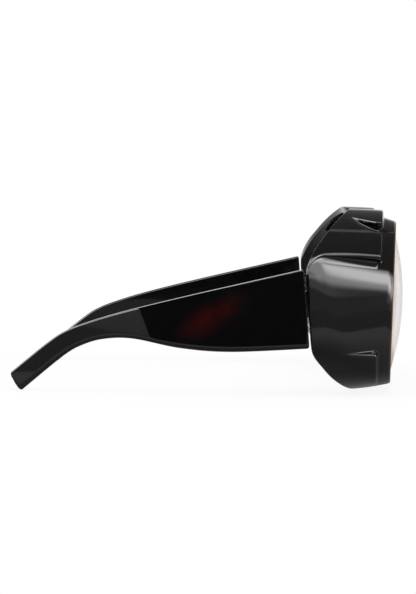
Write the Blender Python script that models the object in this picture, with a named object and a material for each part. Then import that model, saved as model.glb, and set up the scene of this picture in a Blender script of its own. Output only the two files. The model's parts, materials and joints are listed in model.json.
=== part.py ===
"""Oversized round goggles: two deep lobed cups moulded in one front, domed lenses and wide folding temples.

The frame is Blender's: +X to the wearer's left, -Y to the front, +Z up. The goggles stand on the bottoms of the
cups and on the temple tips, with the origin on the table under the middle of the whole.
"""

import math
from collections import namedtuple

import bmesh
import bpy
from mathutils import Matrix, Vector

MM = 0.001
SIDES = {"right": -1, "left": 1}

# Gaps between touching pieces
SEAT_GAP = 0.3 * MM
GLAZING_GAP = 0.35 * MM
BUTT_GAP = 0.6 * MM

# Front: where the cups stand and how they lean
NOSE_GAP = 8 * MM
CUP_DEPTH = 39.5 * MM
FRONT_WRAP = math.radians(3.8)
FRONT_LEAN = math.radians(0.9)
BUTT_LEAN = math.radians(5.4)

# Cup: rim and outer wall
RIM_RADIUS = 36.5 * MM
RIM_ROUND = 0.7 * MM
RIM_LAND = 1.9 * MM
WALL_FLARE = 0.21
NOSE_FLARE = 0.05
FLARE_LENGTH = 24 * MM
LOBE_RISE = 5.1 * MM
LOBE_FRONT_RISE = 4.5 * MM
SHELL_CROWN_LENGTH = 14 * MM
SIDE_FLAT_SHARE = 0.45
SIDE_FLAT_HALF = 15.0
SIDE_FLAT_END = 45.0
CUP_WALL = 3.4 * MM
CUP_SIDE_WALL = 4.6 * MM
BACK_EDGE_ROUND = 0.7 * MM
INNER_THROAT = 1.9 * MM
SIDE_WALL_POWER = 4
INNER_CURVE_POWER = 0.8
CORNER_CUT_SHARE = 0.3

# Cup: the back edge's depth behind the rim, more at the top and the temple, less below and at the nose
BACK_DEPTH = 20.2 * MM
BACK_DEPTH_TOP = 1.3 * MM
BACK_DEPTH_SIDE = 19.9 * MM
BACK_DEPTH_NOSE = 6.5 * MM
BACK_SIDE_POWER = 1.95
BACK_NOSE_POWER = 1.5
BACK_CORNER_SOFTNESS = 0.5 * MM

# Lobes: angles round the cup, 0 at the temple and 90 at the top
TOP_LOBE_HALF = 30.2
NOTCH_WIDTH = 8.2
NOTCH_END_HALF = 28.3
NOTCH_END_WIDTH = 0.9
NOTCH_BACK_WIDTH = 7.0
SIDE_LOBE_LOW = 30.0
LOW_LOBE_HIGH = -30.6
LOW_LOBE_FULL = -45.0
LOW_LOBE_END = -80.0
NOSE_LOBE_LOSS_SHARE = 0.35
NOSE_LOSS_START = 110.0
NOSE_LOSS_END = 150.0
NOSE_THIN_END = 165.0
LOBE_WALL_DRAFT = 0.45
LOBE_CORNER_ANGLE = 3.0
LOBE_CORNER_ROUND = 1.6 * MM
LOBE_EDGE_ROUND = 0.6 * MM
LOBE_LIP_DEPTH_SHARE = 0.15
LOBE_LIP_DROP_SHARE = 0.7
LOBE_SETBACK = 5.8 * MM
NOTCH_RUN_SHARE = 0.75
SIDE_RUN_SHARE = 0.88
LOW_RUN_SHARE = 0.45
RUN_OUT_SOFTNESS = 0.3 * MM

# Lens
LENS_THICKNESS = 2.0 * MM
LENS_CURVE = 111 * MM
LENS_EDGE_DEPTH = 1.33 * MM
LENS_GRIP = 1.4 * MM
LENS_LIP = 0.5 * MM
REAR_LIP = 1.0 * MM

# Bridge and nose pads
BRIDGE_LOW = 1.0 * MM
BRIDGE_HIGH = 13.0 * MM
BRIDGE_FRONT = 1.2 * MM
BRIDGE_BACK = 8.5 * MM
BRIDGE_ROUND = 1.6 * MM
BRIDGE_BITE = 0.7 * MM
BRIDGE_WAIST_SHARE = 0.22
BRIDGE_RISE = 1.2 * MM
BRIDGE_RING_SHARES = (1.0, 0.55, 0.25, 0.0, -0.25, -0.55, -1.0)
PAD_ANGLE = 212.0
PAD_DEPTH = 8.3 * MM
PAD_PROUD = 2.0 * MM
PAD_SINK = 0.5 * MM
PAD_ROOT = 0.5 * MM
PAD_LENGTH = 15 * MM
PAD_WIDTH = 8.4 * MM

# Temple: outline in its own plane, along the arm and up, as shares of its length and of its root height
TEMPLE_LENGTH = 131.4 * MM
TEMPLE_HEIGHT = 34.4 * MM
TEMPLE_THICKNESS = 5.2 * MM
TIP_THICKNESS = 4.2 * MM
TIP_BEND = 6 * MM
BEND_START_SHARE = 0.42
TAPER_START_SHARE = 0.2
TOP_EDGE_SHARES = (
    (0.0, 0.459), (0.251, 0.317), (0.426, 0.215), (0.586, 0.113),
    (0.700, 0.023), (0.795, -0.080), (0.866, -0.224), (1.003, -0.584),
)
LOW_EDGE_SHARES = (
    (0.0, -0.541), (0.259, -0.509), (0.426, -0.413), (0.578, -0.252),
    (0.674, -0.228), (0.748, -0.284), (0.818, -0.412), (0.973, -0.826),
)
TEMPLE_LOW_BEVEL = 2.4 * MM
TEMPLE_TOP_BEVEL = 0.8 * MM
TEMPLE_INNER_BEVEL = 0.8 * MM
LOW_BEVEL_SHARES = ((0.8, 0.0), (0.35, 0.2), (0.08, 0.6))
ROOT_TOP_ROUND = 1.0 * MM
ROOT_LOW_ROUND = 1.8 * MM
TIP_ROUND = 2.2 * MM
ROUND_STATION_SHARES = (0.15, 0.45, 1.0)

# Hinge: five knuckles round a screw, on two leaves held by rivets
BARREL_RADIUS = 1.8 * MM
BORE_RADIUS = 1.1 * MM
SCREW_RADIUS = 0.8 * MM
SCREW_HEAD_RADIUS = 1.5 * MM
SCREW_HEAD_HEIGHT = 0.8 * MM
SCREW_HEAD_SHARES = ((1.0, 0.0), (1.0, 0.7), (0.8, 1.0))
KNUCKLE_HEIGHT = 1.9 * MM
KNUCKLE_COUNT = 5
LEAF_THICKNESS = 1.2 * MM
LEAF_LENGTH = 8.6 * MM
LEAF_HEIGHT = 8.6 * MM
LEAF_ROUND = 0.8 * MM
LEAF_BITE = 0.8 * MM
SEAT_BORDER = 1.2 * MM
SEAT_DEPTH = 2.6 * MM
SEAT_SETBACK = 0.5 * MM
RIVET_RADIUS = 0.8 * MM
RIVET_HEAD_RADIUS = 1.35 * MM
RIVET_HEAD_HEIGHT = 0.6 * MM
RIVET_HEAD_SHARES = ((1.0, 0.0), (1.0, 0.4), (0.75, 0.85), (0.35, 1.0))
RIVET_DEPTH = 2.2 * MM
RIVET_SPACING = 4.6 * MM

# Mesh resolution, in counts
WALL_DIVISIONS = 5
BACK_DIVISIONS = 2
INNER_DIVISIONS = 3
TEMPLE_DIVISIONS = 3
LENS_RINGS = 5
LENS_RING_POWER = 0.8
LENS_SIDES = 44
PIN_SIDES = 12
BARREL_SIDES = 16
ROUND_STEPS = 3

# Sizes worked out from those above
CUP_SPACING = 2 * RIM_RADIUS + NOSE_GAP
SHELL_RADIUS = RIM_RADIUS + LOBE_RISE
SHELL_FRONT_RADIUS = RIM_RADIUS + LOBE_FRONT_RISE
LENS_RADIUS = RIM_RADIUS - RIM_LAND
GROOVE_RADIUS = LENS_RADIUS + GLAZING_GAP
OPENING_RADIUS = LENS_RADIUS - LENS_GRIP
THROAT_RADIUS = RIM_RADIUS - INNER_THROAT
CUP_CENTRE = Vector((CUP_SPACING / 2, 0, 0))
CUP_OUT = Vector((math.cos(FRONT_WRAP), math.sin(FRONT_WRAP), 0))
CUP_LEVEL_BACK = Vector((-math.sin(FRONT_WRAP), math.cos(FRONT_WRAP), 0))
CUP_BACK = CUP_LEVEL_BACK * math.cos(FRONT_LEAN) + Vector((0, 0, math.sin(FRONT_LEAN)))
CUP_UP = Vector((0, 0, math.cos(FRONT_LEAN))) - CUP_LEVEL_BACK * math.sin(FRONT_LEAN)
BUTT_NORMAL = Vector((0, math.cos(BUTT_LEAN), -math.sin(BUTT_LEAN)))
TEMPLE_OUTER_X = CUP_CENTRE.x + SHELL_RADIUS * CUP_OUT.x + CUP_DEPTH * CUP_BACK.x
AXIS_TO_FACE = BARREL_RADIUS + SEAT_GAP
HINGE_POINT = Vector((TEMPLE_OUTER_X - TEMPLE_THICKNESS - AXIS_TO_FACE, CUP_DEPTH, 0))
BARREL_HEIGHT = KNUCKLE_COUNT * KNUCKLE_HEIGHT + (KNUCKLE_COUNT - 1) * SEAT_GAP
LEAF_START = BARREL_RADIUS + SEAT_GAP
RIVET_PLACE = LEAF_START + (LEAF_LENGTH - LEAF_START) / 2
RIVET_REACH = SEAT_GAP * 2 + LEAF_THICKNESS + RIVET_DEPTH


def smooth_share(value, low, high):
    """Share of the way from low to high, eased at both ends."""
    share = min(max((value - low) / (high - low), 0.0), 1.0)
    return share * share * (3 - 2 * share)


def mix(first, second, share):
    return first + (second - first) * share


def softer_least(first, second, softness):
    """The lesser of two lengths, with the corner where they cross rounded off."""
    nearer, further = min(first, second), max(first, second)
    return nearer - softness * math.log1p(math.exp((nearer - further) / softness))


def make_material(name, colour, roughness, metallic=0.0, transmission=0.0):
    """One Principled material in linear colour."""
    material = bpy.data.materials.new(name)
    material.use_nodes = True
    shader = material.node_tree.nodes["Principled BSDF"]
    shader.inputs["Base Color"].default_value = (*colour, 1.0)
    shader.inputs["Roughness"].default_value = roughness
    shader.inputs["Metallic"].default_value = metallic
    shader.inputs["Transmission Weight"].default_value = transmission
    return material


def add_object(name, mesh, material, parent=None, is_tool=False):
    """Link a mesh to the scene as an object; a tool is only a cutter or an addition for a Boolean."""
    obj = bpy.data.objects.new(name, mesh)
    bpy.context.scene.collection.objects.link(obj)
    obj.parent = parent
    if material:
        mesh.materials.append(material)
    if is_tool:
        obj.hide_render = True
        obj.display_type = "WIRE"
    else:
        mesh.shade_smooth()
        mesh.set_sharp_from_angle(angle=math.radians(32))
    return obj


def mesh_from(name, points, faces):
    """A mesh of points and faces that point outwards."""
    mesh = bpy.data.meshes.new(name)
    mesh.from_pydata(points, [], faces)
    mesh.update()
    return mesh


def tube_faces(ring_count, ring_size, closed):
    """Quads between rings of equal size; closed joins the last ring to the first, else flat caps end them."""
    faces = []
    steps = ring_count if closed else ring_count - 1
    for i in range(steps):
        this, following = i * ring_size, (i + 1) % ring_count * ring_size
        for j in range(ring_size):
            k = (j + 1) % ring_size
            faces.append((this + j, this + k, following + k, following + j))
    if not closed:
        faces.append(tuple(reversed(range(ring_size))))
        faces.append(tuple((ring_count - 1) * ring_size + j for j in range(ring_size)))
    return faces


def sided(shape, side):
    """A shape of the left side as it is on a side, flipped across the YZ plane for the right one."""
    points, faces = shape
    if side > 0:
        return points, faces
    return [Vector((-p.x, p.y, p.z)) for p in points], [tuple(reversed(face)) for face in faces]


def join_shapes(name, shapes):
    """One mesh of several closed shapes, each given as points and faces."""
    points, faces = [], []
    for shape_points, shape_faces in shapes:
        start = len(points)
        points += shape_points
        faces += [tuple(start + i for i in face) for face in shape_faces]
    return mesh_from(name, points, faces)


def boolean(obj, shapes, operation):
    """Join shapes to an object or cut them from it, with a hidden tool object that moves with it."""
    name = f"{obj.name}_{operation.lower()}"
    tool = add_object(name, join_shapes(name, shapes), None, obj.parent, is_tool=True)
    modifier = obj.modifiers.new(name, "BOOLEAN")
    modifier.object = tool
    modifier.operation = operation
    modifier.solver = "EXACT"


def turned(profile, sides, place):
    """A solid turned from (radius, height) pairs about its own axis, which place sets in space."""
    rings = [
        [place @ Vector((r * math.cos(a), r * math.sin(a), h)) for a in
         (2 * math.pi * k / sides for k in range(sides))]
        for r, h in profile
    ]
    return [p for ring in rings for p in ring], tube_faces(len(rings), sides, closed=False)


# The cup's shape, in its own terms: radius and angle round its axis, and depth behind the rim's plane

def cup_point(radius, angle, depth):
    """Place in space of a point of the left cup, with the angle in degrees from the temple side, upwards."""
    turn = math.radians(angle)
    return (CUP_CENTRE + CUP_OUT * (radius * math.cos(turn))
            + CUP_UP * (radius * math.sin(turn)) + CUP_BACK * depth)


def back_depth(radius, angle):
    """Depth of the back edge: slanted from nose to temple, and cut by the plane that the temple butts on."""
    cosine, sine = math.cos(math.radians(angle)), math.sin(math.radians(angle))
    slant = (BACK_DEPTH + BACK_DEPTH_TOP * sine + BACK_DEPTH_SIDE * max(cosine, 0.0) ** BACK_SIDE_POWER
             - BACK_DEPTH_NOSE * max(-cosine, 0.0) ** BACK_NOSE_POWER)
    butt_point = HINGE_POINT - BUTT_NORMAL * (BUTT_GAP / 2)
    butt = (butt_point - cup_point(radius, angle, 0)).dot(BUTT_NORMAL) / CUP_BACK.dot(BUTT_NORMAL)
    return softer_least(slant, butt, BACK_CORNER_SOFTNESS)


def base_radius(angle, depth):
    """Radius of the plain flared wall, as it is between the lobes and under the cup."""
    nose = max(-math.cos(math.radians(angle)), 0.0)
    flare = mix(WALL_FLARE, NOSE_FLARE, nose)
    return RIM_RADIUS + flare * FLARE_LENGTH * math.tanh(depth / FLARE_LENGTH)


def full_radius(angle, depth):
    """Radius of the raised shell, crowned at its front and a little flattened where the temple meets it."""
    crown = max(1 - depth / SHELL_CROWN_LENGTH, 0.0)
    radius = SHELL_RADIUS - (SHELL_RADIUS - SHELL_FRONT_RADIUS) * crown * crown
    off_side = min(angle % 360, -angle % 360)
    flat = SIDE_FLAT_SHARE * (1 - smooth_share(off_side, SIDE_FLAT_HALF, SIDE_FLAT_END))
    flat *= smooth_share(depth, LOBE_SETBACK, CUP_DEPTH)
    return radius * (1 + flat * (1 / math.cos(math.radians(min(off_side, SIDE_FLAT_END))) - 1))


def low_fade(angle):
    """1 where the shell is full, easing to 0 under the cup."""
    if 0 <= angle <= 180:
        return 1.0
    return smooth_share((angle + 180) % 360 - 180, LOW_LOBE_END, LOW_LOBE_FULL)


def shell_radius(angle, depth):
    """Radius of the lobes' outer surface."""
    share = low_fade(angle)
    if 90 < angle < 180:
        share = 1 - NOSE_LOBE_LOSS_SHARE * smooth_share(angle, NOSE_LOSS_START, NOSE_LOSS_END)
    return mix(base_radius(angle, depth), full_radius(angle, depth), share)


def inner_radius(angle, depth):
    """Radius of the inner wall, which opens from the throat behind the lens to the back edge."""
    nose_fade = low_fade(angle)
    if 0 < angle < 180:
        nose_fade = 1 - smooth_share(angle, NOSE_LOSS_START, NOSE_THIN_END)
    back = back_depth(SHELL_RADIUS, angle)
    side = max(math.cos(math.radians(angle)), 0.0) ** SIDE_WALL_POWER
    outer = mix(base_radius(angle, back), full_radius(0, back), nose_fade)
    open_radius = max(outer - mix(CUP_WALL, CUP_SIDE_WALL, side), THROAT_RADIUS)
    start = LENS_THICKNESS + LENS_LIP + REAR_LIP
    share = max((depth - start) / (back - start), 0.0)
    return mix(THROAT_RADIUS, open_radius, share ** INNER_CURVE_POWER)


class Column:
    """One line of points round the cup's section, at an angle that may swing between rim and back edge."""

    def __init__(self, angles, is_raised, run_share, plain_share, is_edge):
        self.front, self.notch_end, self.back = angles
        self.is_raised = is_raised
        self.run_share = run_share
        self.plain_share = plain_share
        self.is_edge = is_edge

    def angle(self, share):
        """Angle at a share of the way from the lobe fronts to the back edge."""
        if share < NOTCH_RUN_SHARE:
            return mix(self.front, self.notch_end, share / NOTCH_RUN_SHARE)
        return mix(self.notch_end, self.back, (share - NOTCH_RUN_SHARE) / (1 - NOTCH_RUN_SHARE))

    def floor(self, angle, depth):
        """Radius of the floor, which climbs from the rim until it runs out into the shell."""
        start = LOBE_SETBACK + LOBE_CORNER_ROUND + LOBE_EDGE_ROUND
        run_out = mix(start, back_depth(SHELL_RADIUS, angle) - BACK_EDGE_ROUND, self.run_share)
        climb = mix(RIM_RADIUS, shell_radius(angle, run_out), depth / run_out)
        climbing = softer_least(climb, shell_radius(angle, depth), RUN_OUT_SOFTNESS)
        return mix(climbing, base_radius(angle, depth), self.plain_share)

    def outer(self, share, depth):
        """Radius of the outside: the shell on a lobe, the floor between lobes."""
        angle = self.angle(share)
        return shell_radius(angle, depth) if self.is_raised else self.floor(angle, depth)

    def section(self):
        """Points of the closed section: rim, outer wall, back edge, inner wall, throat and lens groove."""
        lobe_front = LOBE_SETBACK + (LOBE_CORNER_ROUND if self.is_edge else 0.0)
        lobe_back = LOBE_SETBACK + LOBE_CORNER_ROUND + LOBE_EDGE_ROUND
        lip = lobe_front + LOBE_EDGE_ROUND * LOBE_LIP_DEPTH_SHARE
        shoulder = lobe_front + LOBE_EDGE_ROUND
        lip_drop = LOBE_EDGE_ROUND * LOBE_LIP_DROP_SHARE if self.is_raised else 0.0
        rim_cut, edge_cut = RIM_ROUND * CORNER_CUT_SHARE, BACK_EDGE_ROUND * CORNER_CUT_SHARE
        points = [
            (OPENING_RADIUS, 0, 0),
            (RIM_RADIUS - RIM_ROUND, 0, 0),
            (RIM_RADIUS - rim_cut, rim_cut, 0),
            (RIM_RADIUS, RIM_ROUND, 0),
            (self.floor(self.front, lobe_front), lobe_front, 0),
            (max(self.outer(0, lip) - lip_drop, self.floor(self.front, lip)), lip, 0),
            (self.outer(0, shoulder), shoulder, 0),
        ]
        shares = [NOTCH_RUN_SHARE * i / WALL_DIVISIONS for i in range(WALL_DIVISIONS)]
        shares += [mix(NOTCH_RUN_SHARE, 1, i / BACK_DIVISIONS) for i in range(BACK_DIVISIONS + 1)]
        end = back_depth(self.outer(1, back_depth(SHELL_RADIUS, self.back)), self.back)
        for share in shares:
            depth = mix(lobe_back, end - BACK_EDGE_ROUND, share)
            points.append((self.outer(share, depth), depth, share))
        outer_end = self.outer(1, end)
        inner_end = inner_radius(self.back, end)
        points.append((outer_end - edge_cut, None, -edge_cut))
        points.append((outer_end - BACK_EDGE_ROUND, None, 0))
        points.append((inner_end + BACK_EDGE_ROUND, None, 0))
        points.append((inner_end + edge_cut, None, -edge_cut))
        throat = LENS_THICKNESS + LENS_LIP + REAR_LIP + GLAZING_GAP * 2
        for i in range(INNER_DIVISIONS + 1):
            share = 1 - i / INNER_DIVISIONS
            depth = mix(throat, end - BACK_EDGE_ROUND, share)
            points.append((inner_radius(self.angle(share), depth), depth, share))
        lens_back = lens_depth(LENS_RADIUS) + LENS_THICKNESS + GLAZING_GAP
        lens_front = lens_depth(LENS_RADIUS) - GLAZING_GAP
        points += [
            (OPENING_RADIUS, lens_depth(OPENING_RADIUS) + LENS_THICKNESS + GLAZING_GAP + REAR_LIP, 0),
            (OPENING_RADIUS, lens_depth(OPENING_RADIUS) + LENS_THICKNESS + GLAZING_GAP, 0),
            (GROOVE_RADIUS, lens_back, 0),
            (GROOVE_RADIUS, lens_front, 0),
            (OPENING_RADIUS, lens_depth(OPENING_RADIUS) - GLAZING_GAP, 0),
        ]
        return [self.place(*point) for point in points]

    def place(self, radius, depth, share):
        """Point in space; a point of the back edge has no depth but an offset from that edge."""
        if depth is None:
            return cup_point(radius, self.back, back_depth(radius, self.back) + share)
        return cup_point(radius, self.angle(share), depth)


def lens_depth(radius):
    """Depth of the lens's outer face behind the rim's plane, negative where it bulges out."""
    dome = math.sqrt(LENS_CURVE ** 2 - radius ** 2) - math.sqrt(LENS_CURVE ** 2 - LENS_RADIUS ** 2)
    return LENS_EDGE_DEPTH - dome


Sector = namedtuple("Sector", "first last is_raised divisions runs plain")


def cup_columns():
    """Columns all round the cup, sector by sector: floors between the lobes, and the lobes themselves."""
    top_low, top_high = 90 - TOP_LOBE_HALF, 90 + TOP_LOBE_HALF
    end_low, end_high = 90 - NOTCH_END_HALF, 90 + NOTCH_END_HALF
    half, half_back = NOTCH_END_WIDTH / 2, NOTCH_BACK_WIDTH / 2
    edges = {
        "low_lobe": (LOW_LOBE_HIGH,) * 3,
        "side_low": (SIDE_LOBE_LOW,) * 3,
        "side_high": (top_low - NOTCH_WIDTH, end_low - half, end_low - half_back),
        "top_low": (top_low, end_low + half, end_low + half_back),
        "top_high": (top_high, end_high - half, end_high - half_back),
        "nose_high": (top_high + NOTCH_WIDTH, end_high + half, end_high + half_back),
        "nose_low": (180 - SIDE_LOBE_LOW,) * 3,
        "bottom": (270.0,) * 3,
        "low_lobe_round": (360 + LOW_LOBE_HIGH,) * 3,
    }
    sectors = (
        Sector("low_lobe", "side_low", False, 10, (LOW_RUN_SHARE, SIDE_RUN_SHARE), (0, 0)),
        Sector("side_low", "side_high", True, 3, (SIDE_RUN_SHARE, NOTCH_RUN_SHARE), (0, 0)),
        Sector("side_high", "top_low", False, 2, (NOTCH_RUN_SHARE, NOTCH_RUN_SHARE), (0, 0)),
        Sector("top_low", "top_high", True, 8, (NOTCH_RUN_SHARE, NOTCH_RUN_SHARE), (0, 0)),
        Sector("top_high", "nose_high", False, 2, (NOTCH_RUN_SHARE, NOTCH_RUN_SHARE), (0, 0)),
        Sector("nose_high", "nose_low", True, 3, (NOTCH_RUN_SHARE, NOTCH_RUN_SHARE), (0, 1)),
        Sector("nose_low", "bottom", False, 14, (NOTCH_RUN_SHARE, NOTCH_RUN_SHARE), (1, 1)),
        Sector("bottom", "low_lobe_round", True, 8, (LOW_RUN_SHARE, LOW_RUN_SHARE), (1, 0)),
    )
    columns = []
    for sector in sectors:
        columns += sector_columns(sector, edges[sector.first], edges[sector.last])
    return columns


def sector_columns(sector, start, end):
    """Columns of one sector, with one close to each end of a lobe and the walls drafted off the floors."""
    shares = [i / sector.divisions for i in range(sector.divisions + 1)]
    is_open = [sector.first == "bottom", sector.last == "bottom"]
    if sector.is_raised:
        corner = LOBE_CORNER_ANGLE / (end[0] - start[0])
        inner = [mix(corner, 1 - corner, share) for share in shares[1:-1]]
        shares = inner if is_open[0] else [0.0, corner] + inner
        shares += [1 - corner, 1.0]
    else:
        narrowed = [min(LOBE_WALL_DRAFT, (b - a) / 4) for a, b in zip(start, end)]
        start = tuple(a + draft for a, draft in zip(start, narrowed))
        end = end if is_open[1] else tuple(b - draft for b, draft in zip(end, narrowed))
    columns = []
    for share in shares:
        angles = [mix(a, b, share) for a, b in zip(start, end)]
        is_edge = sector.is_raised and share in (0.0, 1.0)
        run, plain = mix(*sector.runs, share), mix(*sector.plain, share)
        columns.append(Column(angles, sector.is_raised, run, plain, is_edge))
    return columns


def cup_mesh():
    """The left cup as one closed ring of sections."""
    sections = [column.section() for column in cup_columns()]
    points = [p for section in sections for p in section]
    return mesh_from("front_frame", points, tube_faces(len(sections), len(sections[0]), closed=True))


def rounded_rectangle(low_x, high_x, low_y, high_y, radius):
    """Corner-rounded outline, anticlockwise, as (x, y) pairs."""
    points = []
    corners = ((high_x - radius, low_y + radius, -90), (high_x - radius, high_y - radius, 0),
               (low_x + radius, high_y - radius, 90), (low_x + radius, low_y + radius, 180))
    for cx, cy, begin in corners:
        for i in range(ROUND_STEPS + 1):
            turn = math.radians(begin + 90 * i / ROUND_STEPS)
            points.append((cx + radius * math.cos(turn), cy + radius * math.sin(turn)))
    return points


def bridge_shape():
    """Saddle bridge lofted from cup to cup, waisted and a little raised at its middle."""
    outline = rounded_rectangle(BRIDGE_FRONT, BRIDGE_BACK, BRIDGE_LOW, BRIDGE_HIGH, BRIDGE_ROUND)
    middle = (BRIDGE_LOW + BRIDGE_HIGH) / 2
    ends = []
    for depth, height in outline:
        radius = base_radius(180, depth) - BRIDGE_BITE
        angle = 180 - math.degrees(math.asin(height / radius))
        ends.append(cup_point(radius, angle, depth))
    rings = []
    for share in BRIDGE_RING_SHARES:
        narrow = 1 - share * share
        rings.append([
            Vector((p.x * share, p.y, middle + (p.z - middle) * (1 - BRIDGE_WAIST_SHARE * narrow)
                    + BRIDGE_RISE * narrow))
            for p in ends
        ])
    return [p for ring in rings for p in ring], tube_faces(len(rings), len(outline), closed=False)


def pad_shape(side):
    """Moulded nose pad: a shallow oval swelling on the nose side of a cup."""
    radius = base_radius(PAD_ANGLE, PAD_DEPTH)
    centre = cup_point(radius - PAD_SINK, PAD_ANGLE, PAD_DEPTH)
    turn = math.radians(PAD_ANGLE)
    outward = CUP_OUT * math.cos(turn) + CUP_UP * math.sin(turn)
    along = CUP_UP * math.cos(turn) - CUP_OUT * math.sin(turn)
    shell = bmesh.new()
    bmesh.ops.create_uvsphere(shell, u_segments=16, v_segments=10, radius=1)
    shell.verts.ensure_lookup_table()
    points = [
        centre + along * (v.co.x * PAD_LENGTH / 2) + CUP_BACK * (v.co.y * PAD_WIDTH / 2)
        + outward * (v.co.z * (PAD_PROUD + PAD_SINK if v.co.z > 0 else PAD_ROOT))
        for v in shell.verts
    ]
    faces = [tuple(v.index for v in face.verts) for face in shell.faces]
    shell.free()
    if along.cross(CUP_BACK).dot(outward) < 0:
        faces = [tuple(reversed(face)) for face in faces]
    return sided((points, faces), side)


def hinge_place(side):
    """Frame on the joint axis: X to the wearer's left, Y back along the temple, Z up the leaning axis."""
    point = Vector((HINGE_POINT.x * side, HINGE_POINT.y, HINGE_POINT.z))
    return Matrix.Translation(point) @ Matrix.Rotation(-BUTT_LEAN, 4, "X")


def prism(outline, low, high, axis):
    """Straight solid on an outline; axis "X" stands it on (y, z) pairs and "Z" on (x, y) pairs."""
    if axis == "X":
        rings = [[Vector((level, a, b)) for a, b in outline] for level in (low, high)]
    else:
        rings = [[Vector((a, b, level)) for a, b in outline] for level in (low, high)]
    return [p for ring in rings for p in ring], tube_faces(2, len(outline), closed=False)


def seat_shape(side):
    """Flat seat for the hinge leaf on the cup's inner wall, just in front of the butt."""
    half = BARREL_HEIGHT / 2 + SEAT_BORDER
    front, back = -LEAF_LENGTH - SEAT_BORDER, -BUTT_GAP / 2 - SEAT_SETBACK
    outline = rounded_rectangle(front, back, -half, half, SEAT_BORDER)
    return placed_on_hinge(prism(outline, AXIS_TO_FACE, AXIS_TO_FACE + SEAT_DEPTH, "X"), side)


def placed_on_hinge(shape, side):
    """Move a shape of the left hinge's frame to its place, mirrored for the right."""
    place = hinge_place(1)
    points, faces = shape
    return sided(([place @ p for p in points], faces), side)


def rivet_places(direction):
    """Matrices of a leaf's two rivets, heads towards the wearer's nose; direction is -1 on the cup's leaf."""
    face = AXIS_TO_FACE - SEAT_GAP - LEAF_THICKNESS - SEAT_GAP
    turn = Matrix.Rotation(math.radians(-90), 4, "Y")
    return [
        Matrix.Translation(Vector((face, direction * RIVET_PLACE, height))) @ turn
        for height in (-RIVET_SPACING / 2, RIVET_SPACING / 2)
    ]


def rivet_hole_shapes(direction):
    """Blind holes of one leaf's rivets in the plastic, in the left hinge's frame."""
    radius = RIVET_RADIUS + SEAT_GAP
    profile = ((radius, -RIVET_REACH - SEAT_GAP), (radius, RIVET_HEAD_HEIGHT))
    return [turned(profile, PIN_SIDES, place) for place in rivet_places(direction)]


def build_front(material, parent):
    """One moulding: both cups, the bridge, the nose pads and the hinge seats."""
    front = add_object("front_frame", cup_mesh(), material, parent)
    mirror = front.modifiers.new("mirror", "MIRROR")
    mirror.use_axis = (True, False, False)
    mirror.use_mirror_merge = False
    additions = [bridge_shape()]
    holes = []
    for side in SIDES.values():
        additions += [pad_shape(side), seat_shape(side)]
        holes += [placed_on_hinge(hole, side) for hole in rivet_hole_shapes(-1)]
    boolean(front, additions, "UNION")
    boolean(front, holes, "DIFFERENCE")
    return front


def build_lens(name, side, material, parent):
    """Domed lens of even thickness, its edge in the rim's groove."""
    radii = [LENS_RADIUS * (i / LENS_RINGS) ** LENS_RING_POWER for i in range(1, LENS_RINGS + 1)]
    profile = [(r, lens_depth(r)) for r in radii]
    profile += [(r, lens_depth(r) + LENS_THICKNESS) for r in reversed(radii)]
    points = []
    for radius, depth in profile:
        points += [cup_point(radius, 360 * k / LENS_SIDES, depth) for k in range(LENS_SIDES)]
    faces = tube_faces(len(profile), LENS_SIDES, closed=False)[:-2]
    front_pole, back_pole = len(points), len(points) + 1
    points += [cup_point(0, 0, lens_depth(0)), cup_point(0, 0, lens_depth(0) + LENS_THICKNESS)]
    last = (len(profile) - 1) * LENS_SIDES
    for k in range(LENS_SIDES):
        following = (k + 1) % LENS_SIDES
        faces.append((front_pole, following, k))
        faces.append((back_pole, last + k, last + following))
    faces = [tuple(reversed(face)) for face in faces]
    return add_object(name, mesh_from(name, *sided((points, faces), side)), material, parent)


def edge_point(shares, place):
    """Point of a temple edge on a smooth curve through its share points; place runs from 0 to 1."""
    spans = len(shares) - 1
    span = min(int(place * spans), spans - 1)
    t = place * spans - span
    before, start, end, after = (
        Vector(shares[min(max(i, 0), spans)]) for i in (span - 1, span, span + 1, span + 2)
    )
    blend = (start * 2 + (end - before) * t + (before * 2 - start * 5 + end * 4 - after) * t ** 2
             + (start * 3 - before - end * 3 + after) * t ** 3) / 2
    return Vector((blend.x * TEMPLE_LENGTH, blend.y * TEMPLE_HEIGHT))


def round_inset(distance, radius):
    """How far a rounded corner of this radius stands in from its flat side, at a distance from the end."""
    if distance >= radius:
        return 0.0
    return radius - math.sqrt(radius ** 2 - (radius - distance) ** 2)


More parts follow.
